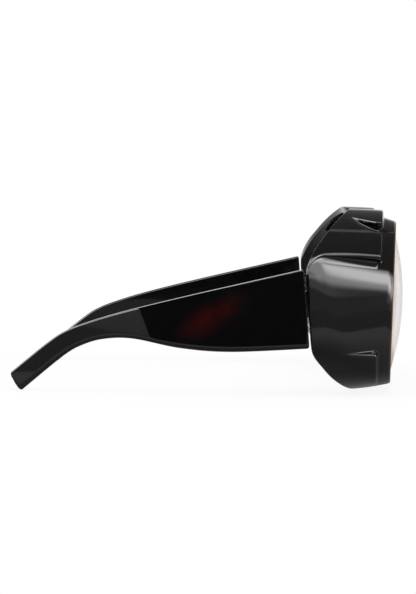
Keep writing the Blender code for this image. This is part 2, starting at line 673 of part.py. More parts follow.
def temple_section(place, from_root, from_tip):
    """Closed section of the temple where its edges stand at place, in the hinge's own frame."""
    top, low = edge_point(TOP_EDGE_SHARES, place), edge_point(LOW_EDGE_SHARES, place)
    up = (top - low).normalized()
    top = top - up * (round_inset(from_root, ROOT_TOP_ROUND) + round_inset(from_tip, TIP_ROUND))
    low = low + up * (round_inset(from_root, ROOT_LOW_ROUND) + round_inset(from_tip, TIP_ROUND))
    height = (top - low).length
    along = (top.x + low.x) / 2 / TEMPLE_LENGTH
    thickness = mix(TEMPLE_THICKNESS, TIP_THICKNESS, smooth_share(along, TAPER_START_SHARE, 1))
    trim = round_inset(from_root, SEAT_GAP) + round_inset(from_tip, TIP_ROUND) * CORNER_CUT_SHARE
    outer = thickness - trim
    inner_cut, top_cut = TEMPLE_INNER_BEVEL * CORNER_CUT_SHARE, TEMPLE_TOP_BEVEL * CORNER_CUT_SHARE
    outline = [
        (trim, TEMPLE_INNER_BEVEL), (trim + inner_cut, inner_cut), (trim + TEMPLE_INNER_BEVEL, 0.0),
        *((outer - a * TEMPLE_LOW_BEVEL, b * TEMPLE_LOW_BEVEL) for a, b in LOW_BEVEL_SHARES),
        (outer, TEMPLE_LOW_BEVEL), (outer, height - TEMPLE_TOP_BEVEL), (outer - top_cut, height - top_cut),
        (outer - TEMPLE_TOP_BEVEL, height), (trim + TEMPLE_TOP_BEVEL, height),
        (trim + top_cut, height - top_cut), (trim, height - TEMPLE_TOP_BEVEL),
    ]
    points = []
    for across, upward in outline:
        spot = low + up * upward
        bend = TIP_BEND * (max(spot.x / TEMPLE_LENGTH - BEND_START_SHARE, 0.0) / (1 - BEND_START_SHARE)) ** 2
        points.append(Vector((AXIS_TO_FACE + across - bend, BUTT_GAP / 2 + spot.x, spot.y)))
    return points


def temple_stations():
    """(place, distance from the root, distance from the tip) of each section, closer at the round ends."""
    spans = len(TOP_EDGE_SHARES) - 1
    span_lengths = [
        (edge_point(TOP_EDGE_SHARES, b) - edge_point(TOP_EDGE_SHARES, a)).length
        for a, b in ((0, 1 / spans), (1 - 1 / spans, 1))
    ]
    far = TEMPLE_LENGTH
    stations = [(0, 0, far)]
    for share in ROUND_STATION_SHARES:
        distance = share * ROOT_LOW_ROUND
        stations.append((distance / span_lengths[0] / spans, distance, far))
    count = spans * TEMPLE_DIVISIONS
    stations += [(i / count, far, far) for i in range(1, count)]
    for share in (*reversed(ROUND_STATION_SHARES), 0):
        distance = share * TIP_ROUND
        stations.append((1 - distance / span_lengths[1] / spans, far, distance))
    return stations


def build_temple(name, side, material, parent):
    """Wide slab temple, its object on the joint axis, with blind holes for the leaf's rivets."""
    sections = [temple_section(*station) for station in temple_stations()]
    points = [p for section in sections for p in section]
    faces = tube_faces(len(sections), len(sections[0]), closed=False)
    faces = [tuple(reversed(face)) for face in faces]
    temple = add_object(name, mesh_from(name, *sided((points, faces), side)), material, parent)
    boolean(temple, [sided(hole, side) for hole in rivet_hole_shapes(1)], "DIFFERENCE")
    return temple


def knuckle_outline(direction):
    """Barrel circle with a web that runs tangent into its leaf, as (x, y) pairs, anticlockwise."""
    web_inner = BARREL_RADIUS - LEAF_THICKNESS
    begin = math.acos(web_inner / BARREL_RADIUS)
    points = []
    for i in range(BARREL_SIDES + 1):
        turn = mix(begin, 2 * math.pi, i / BARREL_SIDES)
        points.append((BARREL_RADIUS * math.cos(turn), direction * BARREL_RADIUS * math.sin(turn)))
    points.append((BARREL_RADIUS, direction * (LEAF_START + LEAF_BITE)))
    points.append((web_inner, direction * (LEAF_START + LEAF_BITE)))
    return points if direction > 0 else list(reversed(points))


def leaf_shapes(direction):
    """Plate and knuckles of a hinge leaf; direction is -1 on the cup and 1 on the temple."""
    leaf_high = AXIS_TO_FACE - SEAT_GAP
    leaf_low = leaf_high - LEAF_THICKNESS
    half = BARREL_HEIGHT / 2 if direction < 0 else LEAF_HEIGHT / 2
    ends = sorted((direction * LEAF_START, direction * LEAF_LENGTH))
    plate = prism(rounded_rectangle(*ends, -half, half, LEAF_ROUND), leaf_low, leaf_high, "X")
    first = 0 if direction < 0 else 1
    knuckles = []
    for i in range(first, KNUCKLE_COUNT, 2):
        low = -BARREL_HEIGHT / 2 + i * (KNUCKLE_HEIGHT + SEAT_GAP)
        knuckles.append(prism(knuckle_outline(direction), low, low + KNUCKLE_HEIGHT, "Z"))
    return plate, knuckles


def build_leaf(name, direction, side, material, parent):
    """One leaf of the barrel hinge as a closed solid, bored for the screw and pierced for its rivets."""
    plate, knuckles = leaf_shapes(direction)
    bore_profile = ((BORE_RADIUS, -BARREL_HEIGHT), (BORE_RADIUS, BARREL_HEIGHT))
    through = LEAF_THICKNESS + SEAT_GAP * 3
    hole_profile = ((RIVET_RADIUS + SEAT_GAP, -through), (RIVET_RADIUS + SEAT_GAP, through))
    cuts = [turned(bore_profile, BARREL_SIDES, Matrix.Identity(4))]
    cuts += [turned(hole_profile, PIN_SIDES, place) for place in rivet_places(direction)]
    leaf = add_object(name, mesh_from(name, *sided(plate, side)), material, parent)
    boolean(leaf, [sided(knuckle, side) for knuckle in knuckles], "UNION")
    boolean(leaf, [sided(cut, side) for cut in cuts], "DIFFERENCE")
    return leaf


def build_screw(name, material, parent):
    """Hinge screw: a plain shank through the knuckles and a low head on the top one."""
    top = BARREL_HEIGHT / 2 + SEAT_GAP
    profile = [(SCREW_RADIUS, -BARREL_HEIGHT / 2), (SCREW_RADIUS, top)]
    profile += [(a * SCREW_HEAD_RADIUS, top + b * SCREW_HEAD_HEIGHT) for a, b in SCREW_HEAD_SHARES]
    points, faces = turned(profile, PIN_SIDES, Matrix.Identity(4))
    return add_object(name, mesh_from(name, points, faces), material, parent)


def build_rivet(name, place, side, material, parent):
    """One domed rivet through a leaf and into the plastic."""
    profile = [(RIVET_RADIUS, -RIVET_REACH), (RIVET_RADIUS, 0)]
    profile += [(a * RIVET_HEAD_RADIUS, b * RIVET_HEAD_HEIGHT) for a, b in RIVET_HEAD_SHARES]
    shape = sided(turned(profile, PIN_SIDES, place), side)
    return add_object(name, mesh_from(name, *shape), material, parent)


def lowest_and_ends(objects):
    """Lowest height and the front and back ends of some objects, before they are set down."""
    bpy.context.view_layer.update()
    spots = [obj.matrix_world @ v.co for obj in objects for v in obj.data.vertices]
    return min(p.z for p in spots), min(p.y for p in spots), max(p.y for p in spots)


def main():
    for obj in list(bpy.data.objects):
        bpy.data.objects.remove(obj, do_unlink=True)

    gloss_black = make_material("gloss_black_plastic", (0.006, 0.006, 0.007), 0.08)
    lens_tint = make_material("pale_lens", (0.86, 0.84, 0.89), 0.03, transmission=0.9)
    hinge_metal = make_material("nickel_plated_brass", (0.55, 0.54, 0.52), 0.28, metallic=1.0)
    screw_metal = make_material("screw_steel", (0.42, 0.42, 0.43), 0.32, metallic=1.0)

    goggles = bpy.data.objects.new("goggles", None)
    bpy.context.scene.collection.objects.link(goggles)
    front = build_front(gloss_black, goggles)
    shapes = [front]
    for side_name, side in SIDES.items():
        shapes.append(build_lens("lens_" + side_name, side, lens_tint, goggles))
        hinge = bpy.data.objects.new("temple_axis_" + side_name, None)
        bpy.context.scene.collection.objects.link(hinge)
        hinge.parent = goggles
        hinge.matrix_basis = hinge_place(side)
        shapes.append(build_temple("temple_" + side_name, side, gloss_black, hinge))
        build_leaf("hinge_front_leaf_" + side_name, -1, side, hinge_metal, hinge)
        build_leaf("hinge_temple_leaf_" + side_name, 1, side, hinge_metal, hinge)
        build_screw("hinge_screw_" + side_name, screw_metal, hinge)
        for leaf, direction in (("front", -1), ("temple", 1)):
            for level, place in zip(("lower", "upper"), rivet_places(direction)):
                name = f"{leaf}_rivet_{level}_{side_name}"
                build_rivet(name, place, side, screw_metal, hinge)

    low, front_end, back_end = lowest_and_ends(shapes)
    goggles.location = (0, -(front_end + back_end) / 2, -low)


main()
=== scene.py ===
"""Looks of the oversized round goggles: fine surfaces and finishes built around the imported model.

Lengths are in metres and angles in degrees. +X is the wearer's left, -Y the front and +Z up, as in the
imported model. Each class is one sub-assembly with its sizes as fields, and main() builds them in order. Shapes
are first made for the left side, with the middle of the front at the origin, and then set in their place.
"""

import json
import logging
import math
from collections.abc import Callable
from dataclasses import dataclass, field
from enum import Enum
from functools import partial

import bmesh
import bpy
from mathutils import Matrix, Vector


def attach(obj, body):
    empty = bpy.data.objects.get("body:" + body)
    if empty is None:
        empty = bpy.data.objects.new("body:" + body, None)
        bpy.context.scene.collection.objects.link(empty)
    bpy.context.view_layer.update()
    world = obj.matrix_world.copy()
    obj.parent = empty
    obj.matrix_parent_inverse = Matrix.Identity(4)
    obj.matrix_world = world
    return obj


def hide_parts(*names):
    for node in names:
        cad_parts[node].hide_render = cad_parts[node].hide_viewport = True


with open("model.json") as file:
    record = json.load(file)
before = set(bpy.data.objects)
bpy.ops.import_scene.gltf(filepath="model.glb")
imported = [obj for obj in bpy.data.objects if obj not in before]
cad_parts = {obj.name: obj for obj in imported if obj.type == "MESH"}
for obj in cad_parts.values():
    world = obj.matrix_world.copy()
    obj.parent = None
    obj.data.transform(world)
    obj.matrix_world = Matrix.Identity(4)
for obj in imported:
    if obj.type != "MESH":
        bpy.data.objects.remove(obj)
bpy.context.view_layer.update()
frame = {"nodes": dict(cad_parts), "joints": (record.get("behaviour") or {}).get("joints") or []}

LOG = logging.getLogger("goggles")
MM = 0.001
HAIR = 0.15 * MM
SHARP_ANGLE = 40.0
WHITE = (1.0, 1.0, 1.0, 1.0)
MATH, VECTOR_MATH, MIX = "ShaderNodeMath", "ShaderNodeVectorMath", "ShaderNodeMix"
MAP_RANGE, NOISE, SPLIT = "ShaderNodeMapRange", "ShaderNodeTexNoise", "ShaderNodeSeparateXYZ"

Pair = tuple[float, float]
Triple = tuple[float, float, float]
Shape = tuple[list[Vector], list[tuple[int, ...]]]
Adder = Callable[..., bpy.types.Node]


class Worded(Enum):
    """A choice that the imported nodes' names hold."""

    @property
    def word(self) -> str:
        """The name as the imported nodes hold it."""
        return self.name.lower()


class Side(Worded):
    """The wearer's right or left, with its sign on the X axis."""

    RIGHT = -1
    LEFT = 1


class Leaf(Worded):
    """A leaf of the hinge, with its direction along the temple from the axis."""

    FRONT = -1
    TEMPLE = 1


# Small sums


def mix(first: float, second: float, share: float) -> float:
    """The value at a share of the way from first to second."""
    return first + (second - first) * share


def smooth_share(value: float, low: float, high: float) -> float:
    """Share of the way from low to high, eased at both ends."""
    share = min(max((value - low) / (high - low), 0.0), 1.0)
    return share * share * (3 - 2 * share)


def softer_least(first: float, second: float, softness: float) -> float:
    """The lesser of two lengths, with the corner where they cross rounded off."""
    nearer, further = min(first, second), max(first, second)
    return nearer - softness * math.log1p(math.exp((nearer - further) / softness))


def cosine(angle: float) -> float:
    """Cosine of an angle in degrees."""
    return math.cos(math.radians(angle))


def sine(angle: float) -> float:
    """Sine of an angle in degrees."""
    return math.sin(math.radians(angle))


def quarter(steps: int) -> list[float]:
    """Angles in radians of the points of a quarter turn, both ends included."""
    return [math.pi / 2 * i / steps for i in range(steps + 1)]


def arc(radius: float, steps: int) -> list[Pair]:
    """Distances of a rounded edge's points from its two faces, from the point on the first face on."""
    return [(radius * (1 - math.cos(t)), radius * (1 - math.sin(t))) for t in quarter(steps)]


def drop(distance: float, radius: float) -> float:
    """How far a rounded edge stands in at a distance from its end."""
    gap = max(1 - distance / radius, 0.0)
    return radius * (1 - math.sqrt(max(1 - gap * gap, 0.0)))


def circle(radius: float, height: float, sides: int) -> list[Vector]:
    """Points of a level circle round the Z axis."""
    turns = (2 * math.pi * k / sides for k in range(sides))
    return [Vector((radius * math.cos(a), radius * math.sin(a), height)) for a in turns]


def linear(code: str) -> tuple[float, float, float, float]:
    """Linear colour with full alpha of an sRGB hex code such as "#0A0B0C"."""
    channels = [int(code[i:i + 2], 16) / 255 for i in (1, 3, 5)]
    return (*(c / 12.92 if c <= 0.04045 else ((c + 0.055) / 1.055) ** 2.4 for c in channels), 1.0)


# Meshes


def tube(rings: list[list[Vector]], closed: bool = False) -> Shape:
    """A shape of quads between rings of equal size.

    Args:
        rings: the points of each ring.
        closed: True joins the last ring to the first, False ends the tube in flat caps.

    Returns:
        Its points, and its faces as tuples of point numbers.
    """
    count, size = len(rings), len(rings[0])
    faces = []
    for i in range(count if closed else count - 1):
        this, following = i * size, (i + 1) % count * size
        for j in range(size):
            k = (j + 1) % size
            faces.append((this + j, this + k, following + k, following + j))
    if not closed:
        faces += [tuple(range(size))[::-1], tuple(range((count - 1) * size, count * size))]
    return [p for ring in rings for p in ring], faces


def turned(profile: list[Pair], sides: int) -> Shape:
    """A solid turned about the Z axis from (radius, height) pairs."""
    return tube([circle(radius, height, sides) for radius, height in profile])


def rounded_rectangle(low: Vector, high: Vector, radius: float, steps: int) -> list[Vector]:
    """Corner-rounded outline in a plane.

    Args:
        low: its low corner.
        high: its high corner.
        radius: the round of its corners.
        steps: steps of each round.

    Returns:
        Its points, anticlockwise.
    """
    corners = ((high.x - radius, low.y + radius, 270), (high.x - radius, high.y - radius, 0),
               (low.x + radius, high.y - radius, 90), (low.x + radius, low.y + radius, 180))
    return [Vector((x + radius * math.cos(math.radians(begin) + turn),
                    y + radius * math.sin(math.radians(begin) + turn)))
            for x, y, begin in corners for turn in quarter(steps)]


def sided(shape: Shape, side: Side) -> Shape:
    """A shape of the left side as it is on a side, flipped across the YZ plane for the right one."""
    flipped = [Vector((-p.x, p.y, p.z)) for p in shape[0]], [face[::-1] for face in shape[1]]
    return shape if side is Side.LEFT else flipped


def moved(shape: Shape, place: Matrix) -> Shape:
    """A shape after a turn and a move."""
    return [place @ p for p in shape[0]], shape[1]


def joined(shapes: list[Shape]) -> Shape:
    """Several shapes as one.

    Args:
        shapes: the shapes.

    Returns:
        One shape with the points and faces of all.
    """
    points, faces = [], []
    for shape_points, shape_faces in shapes:
        faces += [tuple(len(points) + i for i in face) for face in shape_faces]
        points += shape_points
    return points, faces


def new_object(name: str, shape: Shape) -> bpy.types.Object:
    """An object at the origin.

    Args:
        name: its name and its mesh's.
        shape: the shape of its mesh.

    Returns:
        The object, in the scene.
    """
    mesh = bpy.data.meshes.new(name)
    mesh.from_pydata([tuple(p) for p in shape[0]], [], shape[1])
    mesh.update()
    return in_scene(bpy.data.objects.new(name, mesh))


def in_scene(obj: bpy.types.Object) -> bpy.types.Object:
    """Put an object in the scene and give it back."""
    bpy.context.scene.collection.objects.link(obj)
    return obj


def with_boolean(obj: bpy.types.Object, shape: Shape, operation: str) -> bpy.types.Object:
    """Join a shape to an object's mesh, or cut it from it.

    Args:
        obj: the object, whose mesh is replaced.
        shape: one or more closed bodies.
        operation: "UNION" or "DIFFERENCE".

    Returns:
        The same object with its new mesh.
    """
    tool = new_object(f"{obj.name}_{operation.lower()}", shape)
    modifier = obj.modifiers.new(tool.name, "BOOLEAN")
    modifier.object, modifier.operation, modifier.solver = tool, operation, "EXACT"
    settle(obj)
    bpy.data.objects.remove(tool)
    return obj


def settle(obj: bpy.types.Object) -> None:
    """Turn an object and its modifiers into a plain mesh.

    Args:
        obj: the object, which keeps no modifier.
    """
    graph = bpy.context.evaluated_depsgraph_get()
    graph.update()
    mesh = bpy.data.meshes.new_from_object(obj.evaluated_get(graph), depsgraph=graph)
    obj.modifiers.clear()
    obj.data = mesh


def shaped_by(obj: bpy.types.Object, tree: bpy.types.NodeTree, inputs: dict) -> None:
    """Turn an object into a plain mesh of what a Geometry Nodes tree makes on it.

    Args:
        obj: the object, which carries the modifier for the moment.
        tree: the node tree.
        inputs: the tree's inputs by name, each set by its socket's identifier.
    """
    modifier = obj.modifiers.new(tree.name, "NODES")
    modifier.node_group = tree
    for item in tree.interface.items_tree:
        if item.item_type == "SOCKET" and item.in_out == "INPUT" and item.name in inputs:
            modifier[item.identifier] = inputs[item.name]
    obj.update_tag()
    settle(obj)


def flip(mesh: bpy.types.Mesh, side: Side) -> None:
    """Turn a mesh of the left side into that of a side, flipped across the YZ plane for the right one.

    Args:
        mesh: the mesh.
        side: the wearer's right or left.
    """
    if side is Side.RIGHT:
        mesh.transform(Matrix.Scale(-1, 4, Vector((1, 0, 0))))
        mesh.flip_normals()


def point_outwards(mesh: bpy.types.Mesh) -> None:
    """Turn the faces of a closed mesh outwards.

    Args:
        mesh: the mesh.
    """
    work = bmesh.new()
    work.from_mesh(mesh)
    bmesh.ops.recalc_face_normals(work, faces=work.faces)
    work.to_mesh(mesh)
    work.free()


def hand_over(obj: bpy.types.Object, material: bpy.types.Material, body: str, slot: str,
              *nodes: str) -> bpy.types.Object:
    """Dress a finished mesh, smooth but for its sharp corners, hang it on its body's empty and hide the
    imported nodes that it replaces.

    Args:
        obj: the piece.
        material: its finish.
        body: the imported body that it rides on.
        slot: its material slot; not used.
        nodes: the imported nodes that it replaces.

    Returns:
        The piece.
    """
    obj.data.materials.clear()
    obj.data.materials.append(material)
    obj.data.shade_smooth()
    obj.data.set_sharp_from_angle(angle=math.radians(SHARP_ANGLE))
    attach(obj, body)
    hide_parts(*nodes)
    return obj


# Node trees


def plug(node: bpy.types.Node, inputs: dict | tuple) -> None:
    """Set a node's inputs.

    Args:
        node: the node.
        inputs: values, outputs or nodes, by name or as a tuple in the order of the inputs in use. A node
            stands for its first output in use.
    """
    in_use = [socket for socket in node.inputs if socket.enabled]
    pairs = inputs.items() if isinstance(inputs, dict) else enumerate(inputs)
    for key, value in pairs:
        socket = in_use[key] if isinstance(key, int) else node.inputs[key]
        if isinstance(value, bpy.types.Node):
            value = next(output for output in value.outputs if output.enabled)
        if isinstance(value, bpy.types.NodeSocket):
            node.id_data.links.new(value, socket)
        else:
            socket.default_value = value


def add_node(tree: bpy.types.NodeTree, kind: str, inputs: dict | tuple = (), operation: str | None = None,
             **settings: str) -> bpy.types.Node:
    """Add one node to a tree.

    Args:
        tree: the node tree.
        kind: the node's type name.
        inputs: what goes into it, as plug() takes it.
        operation: its sum, where it makes one.
        settings: other attributes to set on it.

    Returns:
        The new node.
    """
    node = tree.nodes.new(kind)
    if operation:
        node.operation = operation
    for name, value in settings.items():
        setattr(node, name, value)
    plug(node, inputs)
    return node


def new_material(name: str) -> tuple[bpy.types.Material, Adder, bpy.types.Node]:
    """A new material.

    Args:
        name: its name.

    Returns:
        The material, what adds a node to its tree, and its Principled shader.
    """
    material = bpy.data.materials.new(name)
    material.use_nodes = True
    return material, partial(add_node, material.node_tree), material.node_tree.nodes["Principled BSDF"]


def new_shape_tree(name: str, inputs: dict[str, str]) -> tuple[bpy.types.NodeTree, Adder, bpy.types.Node]:
    """A new Geometry Nodes tree that has a material among its inputs.

    Args:
        name: its name.
        inputs: the kinds of its other inputs, by name.

    Returns:
        The tree, what adds a node to it, and its input node.
    """
    tree = bpy.data.node_groups.new(name, "GeometryNodeTree")
    tree.interface.new_socket("Geometry", in_out="OUTPUT", socket_type="NodeSocketGeometry")
    for label, kind in {**inputs, "Material": "Material"}.items():
        tree.interface.new_socket(label, in_out="INPUT", socket_type=f"NodeSocket{kind}")
    return tree, partial(add_node, tree), add_node(tree, "NodeGroupInput")


def end_shape_tree(add: Adder, shape: bpy.types.Node, given: bpy.types.Node) -> None:
    """End a Geometry Nodes tree: its instances made real and dressed.

    Args:
        add: what adds a node to the tree.
        shape: the node that makes the shape.
        given: the tree's input node.
    """
    real = add("GeometryNodeRealizeInstances", {"Geometry": shape})
    dressed = add("GeometryNodeSetMaterial", {"Geometry": real, "Material": given.outputs["Material"]})
    add("NodeGroupOutput", {"Geometry": dressed})


def pattern(length: float, place: bpy.types.NodeSocket, **more: float) -> dict:
    """Inputs of a noise, cell or wave pattern on Object coordinates whose features are this long."""
    return {"Vector": place, "Scale": 1 / length, **more}


# Finishes


@dataclass(frozen=True)
class GlossMoulding:
    """Black polycarbonate from a polished mould: near-mirror gloss over a deep black.

    The eye sees crisp reflections that wander a little, because the skin sinks as it cools, a faint orange
    peel, a few hazy places where it was handled, and a thin golden brown line along the rim's front edge.
    """

    colour: str = "#0B0B0C"
    handled_colour: str = "#101011"
    roughness: float = 0.045
    handled_roughness: float = 0.11
    ior: float = 1.48
    sink_length: float = 16 * MM
    sink_depth: float = 0.012 * MM
    peel_length: float = 1.1 * MM
    peel_depth: float = 0.0006 * MM
    handled_length: float = 24 * MM
    handled_from: Pair = (0.5, 0.72)
    speck_spacing: float = 9 * MM
    speck_share: float = 0.035
    rim_colour: str = "#6B4424"
    rim_line: Pair = (0.55 * MM, 0.4 * MM)

    def material(self, rim_centre: Vector, rim_back: Vector, rim_inner: float) -> bpy.types.Material:
        """Build the material.

        Args:
            rim_centre: middle of the left rim's plane.
            rim_back: direction of the left cup's axis, from the rim to the back.
            rim_inner: inner radius of the golden line on the rim's front edge.

        Returns:
            The material.
        """
        material, add, shader = new_material("gloss_black_polycarbonate")
        place = add("ShaderNodeTexCoord").outputs["Object"]
        handled = add(NOISE, pattern(self.handled_length, place, Detail=5.0, Roughness=0.6))
        haze = add(MAP_RANGE, (handled, *self.handled_from))
        # Specks of dust are drawn about 0.6 mm wide, coarser than real dust, so that they show at all.
        cells = add("ShaderNodeTexVoronoi", pattern(self.speck_spacing, place))
        wear = add(MATH, (haze, add(MATH, (cells, self.speck_share), "LESS_THAN")), "MAXIMUM")
        plain = add(MIX, (wear, linear(self.colour), linear(self.handled_colour)), data_type="RGBA")
        x, y, z = add(SPLIT, (place,)).outputs
        left = add("ShaderNodeCombineXYZ", (add(MATH, (x,), "ABSOLUTE"), y, z))
        off = add(VECTOR_MATH, (left, rim_centre), "SUBTRACT")
        at_front = add(MAP_RANGE, (add(VECTOR_MATH, (off, rim_back), "DOT_PRODUCT"), *self.rim_line))
        at_edge = add(MATH, (add(VECTOR_MATH, (off,), "LENGTH"), rim_inner), "GREATER_THAN")
        gold = add(MATH, (at_front, at_edge), "MULTIPLY")
        sink = add(NOISE, pattern(self.sink_length, place, Detail=1.0))
        peel = add(NOISE, pattern(self.peel_length, place, Detail=2.0))
        waves = add("ShaderNodeBump", {"Height": sink, "Distance": self.sink_depth})
        plug(shader, {
            "Base Color": add(MIX, (gold, plain, linear(self.rim_colour)), data_type="RGBA"),
            "Roughness": add(MAP_RANGE, (wear, 0.0, 1.0, self.roughness, self.handled_roughness)),
            "Normal": add("ShaderNodeBump", {"Height": peel, "Distance": self.peel_depth, "Normal": waves}),
            "IOR": self.ior})
        return material


@dataclass(frozen=True)
class ClearLens:
    """Clear polycarbonate lens with a hard coat: it shows what lies behind it, with a faint lavender cast.

    The coat is a few hundred nanometres thick, which gives its reflections a touch of amber and rose, and
    towards the rim the lens looks warmer.
    """

    colour: str = "#F6F2FC"
    rim_colour: str = "#DDC9B6"
    rim_from: Pair = (0.6, 0.9)
    roughness: float = 0.012
    smear_roughness: float = 0.05
    ior: float = 1.585
    coat_thickness_nm: float = 320.0
    coat_ior: float = 1.38
    smear_length: float = 18 * MM
    smear_from: Pair = (0.45, 0.75)
    ripple_length: float = 20 * MM
    ripple_depth: float = 0.004 * MM

    def material(self) -> bpy.types.Material:
        """Build the material.

        Returns:
            The material.
        """
        material, add, shader = new_material("clear_polycarbonate_lens")
        place = add("ShaderNodeTexCoord").outputs["Object"]
        smear = add(NOISE, pattern(self.smear_length, place, Detail=4.0))
        ripple = add(NOISE, pattern(self.ripple_length, place, Detail=0.0))
        reach = add("ShaderNodeAttribute", attribute_name="rim_share").outputs["Fac"]
        rim = add(MAP_RANGE, (reach, *self.rim_from))
        plug(shader, {
            "Base Color": add(MIX, (rim, linear(self.colour), linear(self.rim_colour)), data_type="RGBA"),
            "Roughness": add(MAP_RANGE, (smear, *self.smear_from, self.roughness, self.smear_roughness)),
            "Normal": add("ShaderNodeBump", {"Height": ripple, "Distance": self.ripple_depth}),
            "Transmission Weight": 1.0, "IOR": self.ior,
            "Thin Film Thickness": self.coat_thickness_nm, "Thin Film IOR": self.coat_ior})
        return material


@dataclass(frozen=True)
class BrightMetal:
    """Nickel plate on stamped brass, or turned steel: bright metal whose fine tool marks spread the light."""

    name: str = "nickel_plated_brass"
    # The default colours are darker than bright nickel: partly a dark plated nickel, partly painted shade for
    # the hinge leaves, which sit in the dark gap between cup and temple.
    colour: str = "#8C8880"
    dull_colour: str = "#5E5A54"
    roughness: float = 0.2
    dull_roughness: float = 0.4
    dull_from: Pair = (0.4, 0.7)
    mark_spacing: float = 0.754 * MM
    mark_depth: float = 0.002 * MM
    mark_axis: str = "Z"
    patch_length: float = 2.5 * MM

    def material(self) -> bpy.types.Material:
        """Build the material.

        Returns:
            The material.
        """
        material, add, shader = new_material(self.name)
        place = add("ShaderNodeTexCoord").outputs["Object"]
        patches = add(NOISE, pattern(self.patch_length, place, Detail=4.0))
        dull = add(MAP_RANGE, (patches, *self.dull_from))
        # Tool marks are drawn about 0.7 mm apart, coarser than real ones, so that they show. One unit of the
        # pattern holds 20 / (2 pi) waves.
        wave = pattern(self.mark_spacing * 20 / (2 * math.pi), place, Distortion=1.5, Detail=2.0)
        marks = add("ShaderNodeTexWave", wave, bands_direction=self.mark_axis)
        plug(shader, {
            "Base Color": add(MIX, (dull, linear(self.colour), linear(self.dull_colour)), data_type="RGBA"),
            "Roughness": add(MAP_RANGE, (dull, 0.0, 1.0, self.roughness, self.dull_roughness)),
            "Normal": add("ShaderNodeBump", {"Height": marks.outputs["Fac"], "Distance": self.mark_depth}),
            "Metallic": 1.0})
        return material


TURNED_STEEL = BrightMetal("turned_steel", "#B9BABD", "#8F9094", roughness=0.22, dull_roughness=0.38,
                           mark_spacing=0.628 * MM, mark_depth=0.0015 * MM, mark_axis="X")


# The cup's shape


@dataclass(frozen=True)
class CupSizes:
    """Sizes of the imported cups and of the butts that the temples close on."""

    nose_gap: float = 8 * MM
    cup_depth: float = 39.5 * MM
    front_wrap: float = 3.8
    front_lean: float = 0.9
    butt_lean: float = 5.4
    butt_gap: float = 0.6 * MM
    rim_radius: float = 36.5 * MM
    rim_round: float = 0.7 * MM
    rim_land: float = 1.9 * MM
    wall_flare: float = 0.25
    nose_flare: float = 0.05
    flare_length: float = 17 * MM
    lobe_rise: float = 5.1 * MM
    lobe_front_rise: float = 4.5 * MM
    crown_length: float = 14 * MM
    side_flat: float = 0.45
    side_flat_half: float = 15.0
    side_flat_end: float = 45.0
    wall: float = 3.4 * MM
    side_wall: float = 4.6 * MM
    side_wall_power: float = 4.0
    inner_power: float = 0.8
    back_edge_round: float = 0.55 * MM
    low_edge_round: float = 2.7 * MM
    inner_throat: float = 1.9 * MM
    back_depth: float = 20.2 * MM
    back_depth_top: float = 1.3 * MM
    back_depth_side: float = 19.9 * MM
    back_depth_nose: float = 6.5 * MM
    side_power: float = 1.95
    nose_power: float = 1.5
    back_softness: float = 0.5 * MM
    temple_thickness: float = 5.2 * MM
    axis_to_face: float = 2.1 * MM
    lens_thickness: float = 2.0 * MM
    lens_curve: float = 111 * MM
    lens_edge_depth: float = 1.33 * MM
    lens_grip: float = 1.4 * MM
    lens_lip: float = 0.5 * MM
    rear_lip: float = 1.0 * MM
    glazing_gap: float = 0.35 * MM


@dataclass(frozen=True)
class LobeSizes:
    """Sizes of the lobes raised on the cup's outside; angles run from the temple side upwards."""

    top_half: float = 29.2
    notch_width: float = 9.2
    notch_end_half: float = 24.0
    notch_curve: float = 1.35
    notch_end_width: float = 0.9
    notch_back_width: float = 7.0
    side_low: float = 30.0
    low_high: float = -30.6
    low_full: float = -45.0
    low_end: float = -80.0
    nose_loss: float = 0.35
    nose_loss_start: float = 110.0
    nose_loss_end: float = 150.0
    nose_thin_end: float = 165.0
    wall_draft: float = 0.45
    wall_draft_share: float = 0.25
    corner_round: float = 1.6 * MM
    edge_round: float = 0.9 * MM
    side_lobe_round: float = 2.0 * MM
    low_lobe_round: float = 1.7 * MM
    foot_round: float = 0.7 * MM
    side_foot_round: float = 3.0 * MM
    face_draft: float = 0.12 * MM
    setback: float = 5.8 * MM
    notch_run: float = 0.75
    side_run: float = 1.0
    side_sweep: float = 8.0
    low_run: float = 0.45
    run_softness: float = 0.3 * MM
    notch_scoop: float = 1.9


@dataclass(frozen=True)
class PadSizes:
    """A nose pad, a shallow swelling moulded on the nose side of a cup."""

    angle: float = 212.0
    depth: float = 8.3 * MM
    proud: float = 2.0 * MM
    length: float = 15 * MM
    width: float = 8.4 * MM
    crown: float = 0.3
    foot: float = 1.12


@dataclass(frozen=True)
class Column:
    """One line of points round the cup's section.

    angles hold where it stands at the lobe fronts, at the notch ends and at the back edge. off_edge is its
    distance from the nearest wall, and soft and hollow are the radii of that wall's rounded edge and hollow
    foot. rise is 0 on a floor and 1 on a lobe. run is the share of the depth by which the floor has climbed
    to the shell, scoop the power of its climb, and plain the share of the plain wall in it.
    """

    angles: Triple
    off_edge: float
    soft: float
    hollow: float
    rise: float
    run: float
    plain: float
    scoop: float


@dataclass(frozen=True)
class Sector:
    """A stretch of the cup's circumference between two edges: a lobe, or a floor between lobes."""

    first: str
    last: str
    raised: bool
    runs: Pair
    plain: Pair = (0, 0)
    scoop: float = 1.0
    first_soft: float | None = None
    last_soft: float | None = None
    last_foot: float | None = None
    wall_first: bool = True
    wall_last: bool = True


